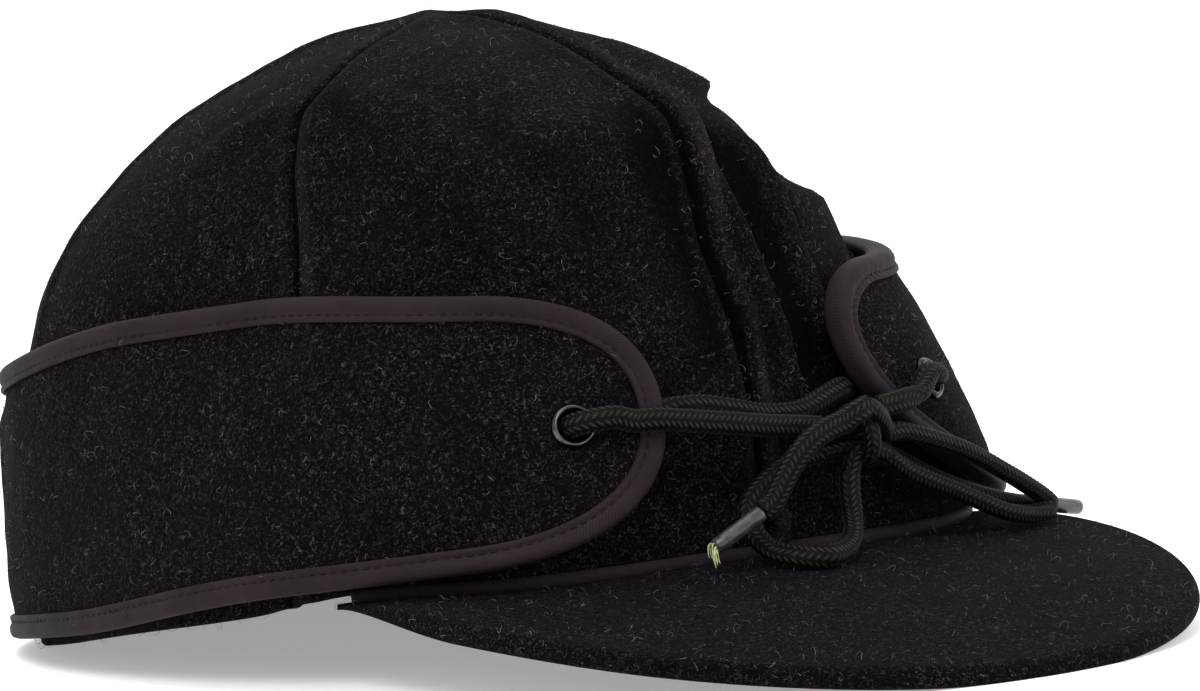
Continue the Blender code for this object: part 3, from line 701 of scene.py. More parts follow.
class Growth(Wiring):
    """A geometry tree with named inputs, which ends in real faces of one material."""

    def __init__(self, name, **sockets):
        tree = bpy.data.node_groups.new(name, "GeometryNodeTree")
        tree.interface.new_socket("Geometry", in_out="OUTPUT", socket_type="NodeSocketGeometry")
        for label, (kind, value) in {"Geometry": ("Geometry", None), **sockets}.items():
            socket = tree.interface.new_socket(label, in_out="INPUT",
                                               socket_type="NodeSocket" + kind)
            if value is not None:
                socket.default_value = value
        super().__init__(tree)
        self.given = {socket.name: Wire(self, socket)
                      for socket in tree.nodes.new("NodeGroupInput").outputs if socket.name}

    def end(self, instances, material, smooth=False):
        """Make the instances real, give them their material and close the tree."""
        shape = self.node("GeometryNodeRealizeInstances", None, {0: instances})
        if smooth:
            shape = self.node("GeometryNodeSetShadeSmooth", None, {"Geometry": shape})
        painted = self.node("GeometryNodeSetMaterial", None,
                            {"Geometry": shape, "Material": self.given[material]})
        self.join(self.tree.nodes.new("NodeGroupOutput").inputs[0], painted)
        return self.tree


FINISHES = {}


def finish_of(maker):
    """A finish is made once and shared by every piece that wears it."""
    if maker not in FINISHES:
        FINISHES[maker] = maker()
    return FINISHES[maker]


def curly_fibres(shader, where, scale, width, seed, share):
    """Thin curled lines, broken into short lengths, as loose grey hairs in the felt."""
    moved = shader.shifted(where, (seed, seed * 0.37, seed * 0.71))
    lines = abs(shader.noise(moved, scale, 1.0, 0.4, 0.9) - 0.5).band(width, 0.0)
    pieces = shader.noise(moved, scale * 1.3, 0.0).band(share, share + 0.05)
    return lines * pieces


def wool_finish():
    """Near-black felt with grey hairs, with painted highlights on crests and painted shade in
    folds and seam grooves.
    """
    colours = bpy.context.scene.cap_colours
    shader = Shader("felted_wool", roughness=0.95, sheen_weight=0.01, sheen_roughness=0.5,
                    sheen_tint=(0.8, 0.7, 0.8), specular_ior_level=0.02)
    where = shader.coordinates()
    cloud = shader.noise(where, 32.0, 3.0, 0.55)
    felt = shader.noise(where, 1050.0, 5.0, 0.72)
    clumps = shader.noise(where, 330.0, 3.0, 0.6, 0.6)
    lift = (felt * 0.65 + clumps * 0.35).band(0.36, 0.72)
    ground = shader.mix(lift, colours.wool, colours.wool_light)
    ground = shader.mix(cloud.band(0.35, 0.7) * 0.30, ground, colours.wool_light)
    hairs = curly_fibres(shader, where, 640.0, 0.017, 3.1, 0.53) * 0.6
    hairs = hairs + curly_fibres(shader, where, 900.0, 0.020, 7.7, 0.54) * 0.55
    hairs = hairs + curly_fibres(shader, where, 1250.0, 0.024, 12.3, 0.52) * 0.45
    specks = shader.noise(shader.shifted(where, (5.0, 1.0, 2.0)), 1500.0, 1.0).band(0.66, 0.78)
    patchy = shader.noise(shader.shifted(where, (1.0, 6.0, 3.0)), 75.0, 2.0).band(0.30, 0.72)
    grey = (hairs * 0.85 + specks * 0.2) * (patchy * 0.35 + 0.42)
    strength = shader.node("ShaderNodeClamp", None, {"Value": grey, "Min": 0.0, "Max": 0.85})
    # Painted light and shade: the "fold" attribute lightens crests and darkens folds and seam
    # grooves
    fold = shader.node("ShaderNodeAttribute", {"attribute_name": "fold"}, output=2)
    ground = shader.mix(fold.band(0.05, 0.9) * 0.8, ground, CREST_PAINTED_HIGHLIGHT)
    colour = shader.mix(strength, ground, colours.hair)
    colour = shader.mix(fold.band(-0.02, -0.5) * 0.92, colour, VALLEY_PAINTED_SHADE)
    height = felt * 0.6 + clumps * 0.9 + hairs * 0.35
    return shader.finish(base_color=colour, normal=shader.bump(height, 0.75, 0.00035))


def tape_finish():
    """Brown-black twill, a little worn."""
    colours = bpy.context.scene.cap_colours
    shader = Shader("bias_tape", roughness=0.62, sheen_weight=0.01, sheen_roughness=0.4,
                    specular_ior_level=0.06)
    where = shader.coordinates("UV")
    twill = shader.node("ShaderNodeTexWave", {"bands_direction": "DIAGONAL"}, {
        "Vector": where, "Scale": 820.0, "Distortion": 0.4, "Detail": 1.0})
    object_space = shader.coordinates()
    thread = shader.noise(object_space, 2600.0, 2.0, 0.6)
    worn = shader.noise(object_space, 60.0, 4.0, 0.6)
    tone = (worn * 0.55 + thread * 0.25 + twill * 0.2).band(0.25, 0.75)
    colour = shader.mix(tone, colours.tape, colours.tape_light)
    return shader.finish(base_color=colour, roughness=0.56 + thread * 0.16,
                         normal=shader.bump(twill * 0.5 + thread * 0.5, 0.35, 0.00012))


def thread_finish():
    shader = Shader("stitching_thread", roughness=0.5, specular_ior_level=0.12)
    where = shader.coordinates()
    tone = shader.noise(where, 3000.0, 1.0).band(0.3, 0.7)
    return shader.finish(base_color=shader.mix(tone, (0.0015, 0.0012, 0.0015),
                                               (0.006, 0.005, 0.006)))


def braid_finish():
    """Black cord, painted lighter on the crowns of its stitches as highlight and darker in its
    grooves as shade.
    """
    colours = bpy.context.scene.cap_colours
    shader = Shader("lace_braid", roughness=0.6, sheen_weight=0.01, sheen_roughness=0.35,
                    specular_ior_level=0.07)
    crown_of_stitch = shader.node("ShaderNodeAttribute", {"attribute_name": "stitch"}, output=2)
    where = shader.coordinates()
    thread = shader.noise(where, 2400.0, 3.0, 0.65)
    glint = shader.noise(shader.shifted(where, (2.0, 4.0, 6.0)), 1700.0, 1.0).band(0.66, 0.76)
    # painted highlight on the stitches' crowns and painted shade in the grooves
    tone = (crown_of_stitch * 0.9 + thread * 0.30).band(0.48, 1.05)
    colour = shader.mix(tone, colours.lace, colours.lace_light)
    colour = shader.mix(glint * 0.35 * crown_of_stitch, colour, (0.12, 0.105, 0.07))
    return shader.finish(base_color=colour, normal=shader.bump(thread, 0.4, 0.00012))


def gunmetal_finish(lit_share):
    """Dark metal; a lit share below one dims it as a whole, as painted shade."""
    shader = Shader("gunmetal", metallic=1.0, roughness=0.2)
    where = shader.coordinates()
    smear = shader.noise(where, 420.0, 4.0, 0.6)
    colour = shader.mix(smear.band(0.3, 0.7), (0.050 * lit_share, 0.050 * lit_share, 0.054 * lit_share),
                        (0.11 * lit_share, 0.11 * lit_share, 0.12 * lit_share))
    return shader.finish(base_color=colour, roughness=0.16 + smear * 0.14)


def sleeve_finish():
    shader = Shader("aglet_sleeve", roughness=0.34, coat_weight=0.22, coat_roughness=0.15)
    where = shader.coordinates()
    rolled = shader.noise(where, 700.0, 3.0, 0.6)
    colour = shader.mix(rolled.band(0.35, 0.7), (0.018, 0.016, 0.018), (0.05, 0.044, 0.05))
    return shader.finish(base_color=colour, roughness=0.26 + rolled * 0.18)


def frayed_finish():
    shader = Shader("frayed_ends", roughness=0.5, sheen_weight=0.2)
    where = shader.coordinates()
    tone = shader.noise(where, 900.0, 2.0).band(0.35, 0.65)
    return shader.finish(base_color=shader.mix(tone, (0.62, 0.62, 0.50), (0.36, 0.42, 0.10)))


def hair_finish():
    colours = bpy.context.scene.cap_colours
    shader = Shader("loose_hairs", roughness=0.7, specular_ior_level=0.3)
    where = shader.coordinates()
    tone = shader.noise(where, 900.0, 1.0).band(0.42, 0.62)
    colour = shader.mix(tone, colours.wool_light, colours.hair)
    return shader.finish(base_color=colour)


# Crown

def path_azimuth(path, height):
    return np.interp(height, [h for h, a in path], [a for h, a in path])


def crease_relief(azimuths, heights, widen=1.0):
    """Sharp overlapping folds of the wool; the first two arguments are arrays of one shape."""
    rise = np.zeros_like(azimuths)
    for crease in CREASES:
        low, high = crease.path[0][0], crease.path[-1][0]
        off = wrapped(azimuths - path_azimuth(crease.path, heights))
        side = np.where(off < 0.0, crease.before, crease.after) * widen
        ends = ease((heights - low - 0.02) / 0.16) * ease((high + 0.05 - heights) / 0.10)
        rise += crease.rise * np.exp(-(off / side) ** 2) * ends
    return rise


def seam_relief(azimuths, heights, radii):
    """Grooves and rolled allowances along the six panel seams."""
    rise = np.zeros_like(azimuths)
    arc = np.radians(1.0) * radii
    fade = ease((radii - 0.004) / 0.016)
    for k in range(PANEL_COUNT):
        seam = wrapped(k * SEAM_STEP)
        line = seam * np.ones_like(heights)
        strength = SEAM_STRENGTH
        if k == 0:
            line = path_azimuth(FRONT_SEAM, heights)
            strength = FRONT_SEAM_STRENGTH
        elif seam == -SEAM_STEP:
            line = path_azimuth(SIDE_SEAM, heights)
        off = wrapped(azimuths - line) * arc
        rise -= 0.0011 * strength * np.exp(-(off / 0.00075) ** 2) * fade
        rise += 0.0009 * strength * np.exp(-((off - 0.0030) / 0.0019) ** 2) * fade
        rise += 0.0004 * strength * np.exp(-((off + 0.0026) / 0.0018) ** 2) * fade
    dimple = ((azimuths - path_azimuth(SIDE_SEAM, heights)) * arc / 0.004) ** 2
    dimple += ((heights - 0.85) * CROWN_HEIGHT / 0.0035) ** 2
    rise -= 0.0022 * np.exp(-dimple)
    return rise


def crown_azimuths():
    """Columns of the crown's mesh, closer together at the seams and the sharp folds."""
    stops = {round(k * 1.6, 3) for k in range(225)}
    for seam in range(0, 360, 60):
        stops = {a for a in stops if abs(wrapped(a - seam)) > 4.0}
        stops |= {round((seam + k * 0.28) % 360.0, 3) for k in range(-15, 16)}
    stops = {a for a in stops if not 3.9 < a < 24.0}
    stops |= {round(4.4 + k * 0.4, 3) for k in range(49)}
    return sorted(stops)


def crown_grid(rows):
    """Outer points, outward normals, heights and azimuths of the crown, as arrays."""
    azimuths = crown_azimuths()
    last = len(CROWN_SECTIONS) - 1
    positions = [last * (i / rows) * 0.996 for i in range(rows + 1)]
    sections = [row.height for row in CROWN_SECTIONS]
    points = np.zeros((len(positions), len(azimuths), 3))
    heights = np.zeros((len(positions), len(azimuths)))
    turned = np.zeros_like(heights)
    for i, position in enumerate(positions):
        height = through(sections, position)
        front = path_azimuth(FRONT_SEAM, height)
        side = path_azimuth(SIDE_SEAM, height) + 60.0
        for j, azimuth in enumerate(azimuths):
            warp = front * math.exp(-(wrapped(azimuth) / 26.0) ** 2)
            warp += side * math.exp(-(wrapped(azimuth + 60.0) / 26.0) ** 2)
            here = azimuth + warp
            share = max(crown_share(here, position), 0.0)
            radius = base_radius(here) * share
            if share > 0.05:
                soft = crown_relief(here, height, SOFT_FOLDS)
                radius += soft * ease((share - 0.05) / 0.1)
            hem = hem_height(here) * max(0.0, 1.0 - height / CROWN_SECTIONS[2].height)
            points[i, j] = on_ring(here, radius, height * CROWN_HEIGHT + hem)
            heights[i, j] = height
            turned[i, j] = here
    across = np.roll(points, -1, axis=1) - np.roll(points, 1, axis=1)
    upwards = np.gradient(points, axis=0)
    normals = np.cross(across, upwards)
    normals /= np.linalg.norm(normals, axis=2, keepdims=True)
    return points, normals, heights, turned


def crown_surface(rows):
    """Outer points, normals and how far each point is on a crest (up to 1) or in a valley, which
    sets the painted highlight and shade.
    """
    points, normals, heights, turned = crown_grid(rows)
    radii = np.linalg.norm(points[:, :, :2], axis=2)
    seams = seam_relief(turned, heights, radii)
    sharp = crease_relief(turned, heights)
    wide = crease_relief(turned, heights, VALLEY_SPREAD)
    rise = sharp * 1.3 - wide * 0.35 + seams
    crest = (sharp - wide * 0.8) / CREST_HEIGHT + seams / SEAM_CREST_HEIGHT
    for i in range(points.shape[0]):
        for j in range(points.shape[1]):
            place = points[i, j]
            rise[i, j] += 0.0006 * grain(place, 0.024, 1.0) + 0.00022 * grain(place, 0.0065, 2.0)
    return points + normals * rise[:, :, None], normals, np.clip(crest, -1.0, 1.0)


def make_crown():
    """A closed shell: the outside, the hem's lip and a coarser inside."""
    outer, normals, crest = crown_surface(CROWN_ROWS)
    rows, columns = outer.shape[:2]
    inner_rows = list(range(rows - 1, -1, -INNER_ROW_STEP))
    if inner_rows[-1] != 0:
        inner_rows.append(0)
    level = normals[0].copy()
    level[:, 2] = 0.0
    level /= np.linalg.norm(level, axis=1, keepdims=True)
    inner = [outer[i] - normals[i] * CROWN_WALL for i in inner_rows]
    inner[-1] = outer[0] - level * CROWN_WALL
    lip = [outer[0] - level * CROWN_WALL * share - np.array([0.0, 0.0, drop])
           for share, drop in LIP]
    rings = inner + lip + [outer[i] for i in range(rows)]
    points = [tuple(point) for ring in rings for point in ring]
    faces = ring_faces(len(rings), columns)
    tips = (len(points), len(points) + 1)
    points += [tuple(inner[0].mean(axis=0)), tuple(outer[-1].mean(axis=0))]
    top = (len(rings) - 1) * columns
    for j in range(columns):
        k = (j + 1) % columns
        faces.append((tips[0], k, j))
        faces.append((top + j, top + k, tips[1]))
    # the outside's crest shares go into the "fold" attribute, which paints highlight on crests
    # and shade in valleys
    folds = np.zeros(len(points))
    folds[(len(rings) - rows) * columns:len(rings) * columns] = crest.ravel()
    crown = make_object("crown_wool", points, faces, finish_of(wool_finish),
                        values={"fold": folds})
    return settle(crown, "crown", "crown")


# Visor and its seam tape

def make_visor():
    """Upper face, rounded rim and underside, from corner to corner."""
    rings = []
    for i in range(VISOR_STEPS + 1):
        azimuth = VISOR_SPREAD * math.sin(math.pi * (i / VISOR_STEPS - 0.5))
        full = ease((VISOR_SPREAD - abs(azimuth)) / CORNER_TAPER)
        thickness = VISOR_THICKNESS * (CORNER_SHARE + (1.0 - CORNER_SHARE) * full)
        edge = thickness / 2.0
        reach = VISOR_LENGTH * visor_reach(azimuth) + VISOR_CORNER
        flat = reach - edge
        outs = [-VISOR_TUCK + (flat + VISOR_TUCK) * (k / VISOR_ROWS) ** 0.9
                for k in range(VISOR_ROWS + 1)]
        top, under = [], []
        for out in outs:
            point = visor_top(azimuth, out)
            lift = 0.00035 * grain(point, 0.020, 4.0) + 0.00012 * grain(point, 0.005, 5.0)
            fade = ease((reach - out) / 0.01) * ease((out + 0.001) / 0.006)
            top.append(point + Vector((0.0, 0.0, lift * fade)))
            under.append(point - Vector((0.0, 0.0, thickness - 0.3 * lift * fade)))
        rim = visor_top(azimuth, flat)
        drop = visor_top(azimuth, reach).z - rim.z
        turn = []
        for k in range(1, VISOR_RIM_STEPS):
            angle = math.pi * k / VISOR_RIM_STEPS
            out = math.sin(angle)
            point = rim + visor_direction(azimuth) * edge * out
            point.z += drop * out - edge * (1.0 - math.cos(angle))
            turn.append(point)
        rings.append(top + turn + list(reversed(under)))
    points, faces = skin(rings, "fanned")
    points = [keep_on_floor(point) for point in points]
    visor = make_object("visor_wool", points, faces, finish_of(wool_finish))
    return settle(visor, "visor", "visor")


def make_welt():
    """The rounded fold of tape that looks out of the visor's seam."""
    rings, uv = [], []
    far = VISOR_SPREAD - WELT_SHORT
    for i in range(WELT_STEPS + 1):
        azimuth = far * (2.0 * i / WELT_STEPS - 1.0)
        outer = base_radius(azimuth) * crown_share(azimuth, 0.0)
        low = hem_height(azimuth) - GAP - WELT_HEIGHT - WELT_PRESS
        high = hem_height(azimuth) - GAP + WELT_PRESS
        wave = 0.00012 * grain((azimuth * METRES_PER_DEGREE, 0.0, 0.0), 0.006, 3.0)
        ring = [on_ring(azimuth, outer - CROWN_WALL, low)]
        for k in range(WELT_ROUND_STEPS + 1):
            turn = math.pi * k / WELT_ROUND_STEPS
            middle = (low + high) / 2.0
            proud = outer + WELT_PROUD * 0.6 + wave
            ring.append(on_ring(azimuth, proud + 0.00085 * math.sin(turn),
                                middle - (high - low) * 0.62 * math.cos(turn)))
        ring.append(on_ring(azimuth, outer - CROWN_WALL, high))
        rings.append(ring)
        uv += [(azimuth * METRES_PER_DEGREE, k * 0.0004) for k in range(len(ring))]
    points, faces = skin(rings, "flat")
    welt = make_object("visor_seam_tape", points, faces, finish_of(tape_finish), uv)
    return settle(welt, "visor_welt", "visor_welt")


# Ear band, its tape, stitches and eyelets

def band_swell(azimuth, z, inset):
    """Soft relief of the band's outer face."""
    place = on_ring(azimuth, BAND_MEAN_RADIUS, z)
    fade = ease((inset - 0.004) / 0.008)
    soft = 0.0006 * fade + 0.0006 * grain(place, 0.026, 7.0) * fade
    fold = math.exp(-(wrapped(azimuth + 134.0 - 90.0 * (z - 0.02)) / 3.0) ** 2)
    return soft + 0.00018 * grain(place, 0.006, 8.0) * fade + 0.0016 * fold * fade


def make_band():
    """Columns of wool round the head, with two holes punched in."""
    inset = TAPE + TAPE_GAP
    columns = band_columns(inset, *BAND_STEPS)
    rings = []
    for low, high in columns:
        ring = []
        for count, depth in ((BAND_OUTER_ROWS, BAND_WALL), (BAND_INNER_ROWS, 0.0)):
            line = []
            for k in range(count + 1):
                row = k / count
                azimuth = low[0] + (high[0] - low[0]) * row
                z = low[1] + (high[1] - low[1]) * row
                edge = min(row, 1.0 - row) * (high[1] - low[1]) + inset
                ahead = min(abs(wrapped(azimuth - BAND_RIGHT_TIP)),
                            abs(wrapped(azimuth - BAND_LEFT_TIP))) * METRES_PER_DEGREE
                swell = band_swell(azimuth, z, min(edge, ahead + 0.003)) if depth else 0.0
                line.append(keep_on_floor(band_point(azimuth, z, depth + swell)))
            ring += line if depth else list(reversed(line))
        rings.append(ring)
    points, faces = skin(rings, "fanned")
    band = make_object("ear_band_wool", points, faces, finish_of(wool_finish))
    for azimuth in (EYELET_RIGHT, EYELET_LEFT):
        work = bmesh.new()
        bmesh.ops.create_cone(work, cap_ends=True, segments=40, radius1=EYELET_BARREL + GAP,
                              radius2=EYELET_BARREL + GAP, depth=BAND_WALL * 4.0)
        work.transform(POSE @ band_frame(azimuth))
        mesh = bpy.data.meshes.new("eyelet_hole")
        work.to_mesh(mesh)
        work.free()
        punch = in_scene("eyelet_hole", mesh)
        modifier = band.modifiers.new("hole", "BOOLEAN")
        modifier.operation = "DIFFERENCE"
        modifier.object = punch
        bake_modifiers(band)
        bpy.data.objects.remove(punch, do_unlink=True)
    return settle(band, "ear_band", "ear_band")


def bake_modifiers(made):
    """Turn an object's modifiers into its mesh."""
    bpy.context.view_layer.update()
    depsgraph = bpy.context.evaluated_depsgraph_get()
    mesh = bpy.data.meshes.new_from_object(made.evaluated_get(depsgraph))
    old = made.data
    made.modifiers.clear()
    made.data = mesh
    bpy.data.meshes.remove(old)
    mesh.name = made.name
    mesh.shade_smooth()
    return made


# The tape's section: inset from the band's edge, and depth outwards from its inner face
PIPING_PROFILE = [
    (PIPING_WIDTH, 0.0032), (0.00502, 0.0037), (0.00480, 0.0040), (0.00430, 0.00412),
    (0.00395, 0.0040), (0.00360, 0.00382), (0.00325, 0.0040), (0.00260, 0.0044),
    (0.00180, 0.00455), (0.00100, 0.0044), (0.00040, 0.0040), (0.00005, 0.0032),
    (0.0, 0.0020), (0.00005, 0.0004), (0.00050, -0.0007), (0.00120, -0.0011),
    (0.00260, -0.0012), (0.00360, -0.00105), (PIPING_WIDTH, -0.0011), (PIPING_WIDTH, -0.0006),
    (0.00300, -0.0005), (0.00090, -0.0004), (0.00070, 0.0015), (0.00090, 0.0034),
    (0.00300, 0.0034),
]


def make_piping():
    """The tape's section run round the whole edge of the band."""
    sizes = bpy.context.scene.cap_sizes
    insets = sorted({inset for inset, depth in PIPING_PROFILE})
    outlines = {inset: band_outline(inset, *PIPING_STEPS) for inset in insets}
    count = len(outlines[0.0])
    spots = [band_point(*outlines[0.0][i], 0.0) for i in range(count)]
    along = [0.0]
    for i in range(1, count):
        along.append(along[-1] + (spots[i] - spots[i - 1]).length)
    rings, uv = [], []
    for i in range(count):
        ring = []
        for inset, depth in PIPING_PROFILE:
            azimuth, z = outlines[inset][i]
            place = on_ring(azimuth, BAND_MEAN_RADIUS, z)
            loose = 0.00022 * grain(place, 0.008, 9.0) + 0.00010 * grain(place, 0.0028, 10.0)
            pucker = 0.00009 * math.cos(2.0 * math.pi * along[i] / sizes.stitch_pitch)
            pucker *= math.exp(-((inset - STITCH_INSET) / 0.0010) ** 2)
            lift = loose * ease((inset - 0.0002) / 0.001) + pucker
            point = band_point(azimuth, z, depth + (lift if depth > 0.0035 else 0.0))
            ring.append(keep_on_floor(point))
            uv.append((along[i], inset + (0.02 if depth < 0.002 else 0.0)))
        rings.append(ring)
    points, faces = skin(rings, "joined")
    piping = make_object("band_piping_tape", points, faces, finish_of(tape_finish), uv)
    return settle(piping, "band_piping", "band_piping")


def grow(made, tree, **inputs):
    """Run a geometry tree on an object and keep its result as a plain mesh."""
    modifier = made.modifiers.new(tree.name, "NODES")
    modifier.node_group = tree
    for item in tree.interface.items_tree:
        if item.in_out == "INPUT" and item.name in inputs:
            modifier[item.identifier] = inputs[item.name]
    return bake_modifiers(made)


def stitch_tree():
    """Long beads at even steps along the edges of a mesh, turned along them."""
    growth = Growth("stitches", Pitch=("Float", 0.0022), Length=("Float", 0.0015),
                    Thickness=("Float", 0.0002), Thread=("Material", None))
    given, node = growth.given, growth.node
    curve = node("GeometryNodeMeshToCurve", None, {0: given["Geometry"]})
    places = node("GeometryNodeResampleCurve", {"mode": "LENGTH"},
                  {"Curve": curve, "Length": given["Pitch"]})
    bead = node("GeometryNodeMeshIcoSphere", None, {"Radius": 0.5, "Subdivisions": 2})
    along = node("GeometryNodeInputTangent")
    turn = node("FunctionNodeAlignRotationToVector", {"axis": "Z"}, {"Vector": along})
    size = node("ShaderNodeCombineXYZ", None,
                {0: given["Thickness"], 1: given["Thickness"], 2: given["Length"]})
    laid = node("GeometryNodeInstanceOnPoints", None,
                {"Points": places, "Instance": bead, "Rotation": turn, "Scale": size})
    return growth.end(laid, "Thread", smooth=True)


def make_stitches():
    """A row of stitches along the piping's inner edge."""
    sizes = bpy.context.scene.cap_sizes
    outline = band_outline(STITCH_INSET, *PIPING_STEPS)
    points = [band_point(azimuth, z, STITCH_DEPTH) for azimuth, z in outline]
    mesh = bpy.data.meshes.new("piping_stitches")
    edges = [(i, (i + 1) % len(points)) for i in range(len(points))]
    mesh.from_pydata([tuple(POSE @ point) for point in points], edges, [])
    thread = finish_of(thread_finish)
    mesh.materials.append(thread)
    stitches = in_scene("piping_stitches", mesh)
    grow(stitches, stitch_tree(), Pitch=sizes.stitch_pitch,
         Length=sizes.stitch_pitch * STITCH_SHARE, Thickness=STITCH_THICKNESS, Thread=thread)
    return settle(stitches, "band_piping")


def make_eyelets():
    """Two turned rings, set through the band's holes."""
    face = BAND_WALL + GAP * 2.0
    back = -GAP * 2.0
    profile = [
        (EYELET_BORE, back - 0.0003), (EYELET_BORE, face + 0.0002), (EYELET_BORE, face + 0.0006),
        (EYELET_BORE + 0.00012, face + 0.00095), (EYELET_BORE + 0.0004, face + 0.00118),
        (EYELET_BORE + 0.0007, face + 0.00118), (EYELET_FLANGE - 0.0004, face + 0.00085),
        (EYELET_FLANGE - 0.0001, face + 0.00045), (EYELET_FLANGE, face + 0.0001),
        (EYELET_FLANGE - 0.0002, face), (EYELET_BARREL, face), (EYELET_BARREL, back),
        (EYELET_FLANGE, back), (EYELET_FLANGE, back - 0.0003),
    ]
    # the wearer's left ring gets a darker copy of the metal, as painted shade
    for name, azimuth, lit_share in (("eyelet_right", EYELET_RIGHT, 1.0),
                                 ("eyelet_left", EYELET_LEFT, FAR_EYELET_LIT_SHARE)):
        turned = band_frame(azimuth)
        rings = []
        for i in range(EYELET_SIDES):
            turn = 2.0 * math.pi * i / EYELET_SIDES
            rings.append([turned @ Vector((radius * math.cos(turn), radius * math.sin(turn),
                                           depth)) for radius, depth in profile])
        points, faces = skin(rings, "joined")
        ring = make_object(name + "_ring", points, faces, gunmetal_finish(lit_share))
        settle(ring, name, name)


# Lace

def tube_frames(path, outward):
    """Tangents and two cross directions along a path, the first facing outwards."""
    tangents = np.gradient(path, axis=0)
    tangents /= np.linalg.norm(tangents, axis=1, keepdims=True)
    normals = np.zeros_like(path)
    now = outward(path[0])
    for i, (point, tangent) in enumerate(zip(path, tangents)):
        wanted = outward(point)
        flat = wanted - tangent * np.dot(wanted, tangent)
        now = now - tangent * np.dot(now, tangent)
        now /= np.linalg.norm(now)
        weight = 0.10 * np.dot(flat, flat) ** 2
        if np.dot(flat, now) < 0.0:
            weight *= 0.2
        now = now * (1.0 - weight) + flat * weight
        now -= tangent * np.dot(now, tangent)
        now /= np.linalg.norm(now)
        normals[i] = now
    return tangents, normals, np.cross(tangents, normals)


def from_crown(point):
    """Level and away from the cap's middle."""
    away = np.array([point[0], point[1], 0.0])
    return away / np.linalg.norm(away)


def from_floor(point):
    """Up and a little to the front, wherever the point is."""
    return np.array([0.0, -0.35, 0.94])


def braid_tube(path, outward, thickness=1.0):
    """Points, faces and stitch heights of a braided lace along a path."""
    sides = BRAID_SIDES
    tangents, normals, sideways = tube_frames(path, outward)
    lengths = lengths_along(path)
    points, stitch = [], []
    turns = np.arange(sides) / sides
    column = np.floor(turns * BRAID_COLUMNS)
    inside = turns * BRAID_COLUMNS - column
    lean = np.where(column % 2 == 0, 1.0, -1.0)
    for i, centre in enumerate(path):
        phase = lengths[i] / BRAID_PITCH + lean * (inside - 0.5) * 1.15
        phase = phase + (column // 2 % 2) * 0.5
        bump = (0.5 + 0.5 * np.cos(2.0 * np.pi * phase)) ** 0.7
        bump = bump * (0.25 + 0.75 * np.sin(np.pi * inside) ** 0.7)
        size = LACE_DIAMETER / 2.0 * thickness * (0.925 + 0.10 * bump)
        angle = 2.0 * np.pi * turns
        offset = (np.cos(angle) * size * BRAID_FLATNESS)[:, None] * normals[i]
        offset = offset + (np.sin(angle) * size * BRAID_WIDTH)[:, None] * sideways[i]
        points += [tuple(centre + o) for o in offset]
        stitch += list(bump)
    faces = ring_faces(len(path), sides)
    for ring, place in ((0, path[0] - tangents[0] * 0.0001),
                        (len(path) - 1, path[-1] + tangents[-1] * 0.0001)):
        middle = len(points)
        points.append(tuple(place))
        stitch.append(0.0)
        faces += [(ring * sides + j, ring * sides + (j + 1) % sides, middle)
                  for j in range(sides)]
    return points, faces, stitch


def make_lace_piece(node, route, outward=from_crown):
    """One stretch of the lace."""
    path = fine_route(route, bpy.context.scene.cap_sizes.lace_step)
    points, faces, stitch = braid_tube(path, outward)
    lace = make_object(node + "_braid", points, faces, finish_of(braid_finish),
                       values={"stitch": stitch})
    settle(lace, node, node)


def join_shapes(shapes):
    """One list each of the points, faces and stitch heights of several tubes."""
    points, faces, stitch = [], [], []
    for some_points, some_faces, some_stitch in shapes:
        start = len(points)
        points += some_points
        faces += [tuple(index + start for index in face) for face in some_faces]
        stitch += some_stitch
    return points, faces, stitch


def make_knot():
    """A wrap and the four strands that it holds."""
    centre = Vector(KNOT_CENTRE)
    wrap = []
    for k in range(15):
        turn = math.radians(168.0 - 24.0 * k)
        wrap.append(centre + Vector((-0.0010 + 0.00022 * k, -0.0042 * math.cos(turn) - 0.0002,
                                     0.0048 * math.sin(turn))))
    left_end = Vector(TO_KNOT_FROM_LEFT[-1])
    runs = [
        (wrap, 0.82),
        ([FROM_KNOT_RIGHTWARDS[0], centre + Vector((-0.003, 0.0004, 0.0018)),
          centre + Vector((0.003, 0.0008, 0.0028)), left_end], 0.9),
        ([LOOP_RIGHT[0], centre + Vector((-0.003, 0.0020, -0.0020)),
          centre + Vector((0.002, 0.0022, -0.0020)), TAIL_LEFT[0]], 0.9),
        ([LOOP_RIGHT[-1], centre + Vector((-0.0010, -0.0004, -0.0040)),
          centre + Vector((0.0020, -0.0008, -0.0036)), LOOP_LEFT[-1]], 0.9),
        ([TAIL_RIGHT[0], centre + Vector((0.0008, -0.0058, 0.0042)),
          centre + Vector((0.0044, -0.0034, 0.0018)), LOOP_LEFT[0]], 0.9),
    ]
    shapes = [braid_tube(fine_route(run, KNOT_STEP), from_knot, size) for run, size in runs]
    points, faces, stitch = join_shapes(shapes)
    knot = make_object("knot_strands", points, faces, finish_of(braid_finish),
                       values={"stitch": stitch})
    return settle(knot, "bow_knot", "bow_knot")


def from_knot(point):
    """Away from the knot's middle."""
    away = np.array(point) - np.array(KNOT_CENTRE)
    away[1] -= 0.001
    return away / np.linalg.norm(away)


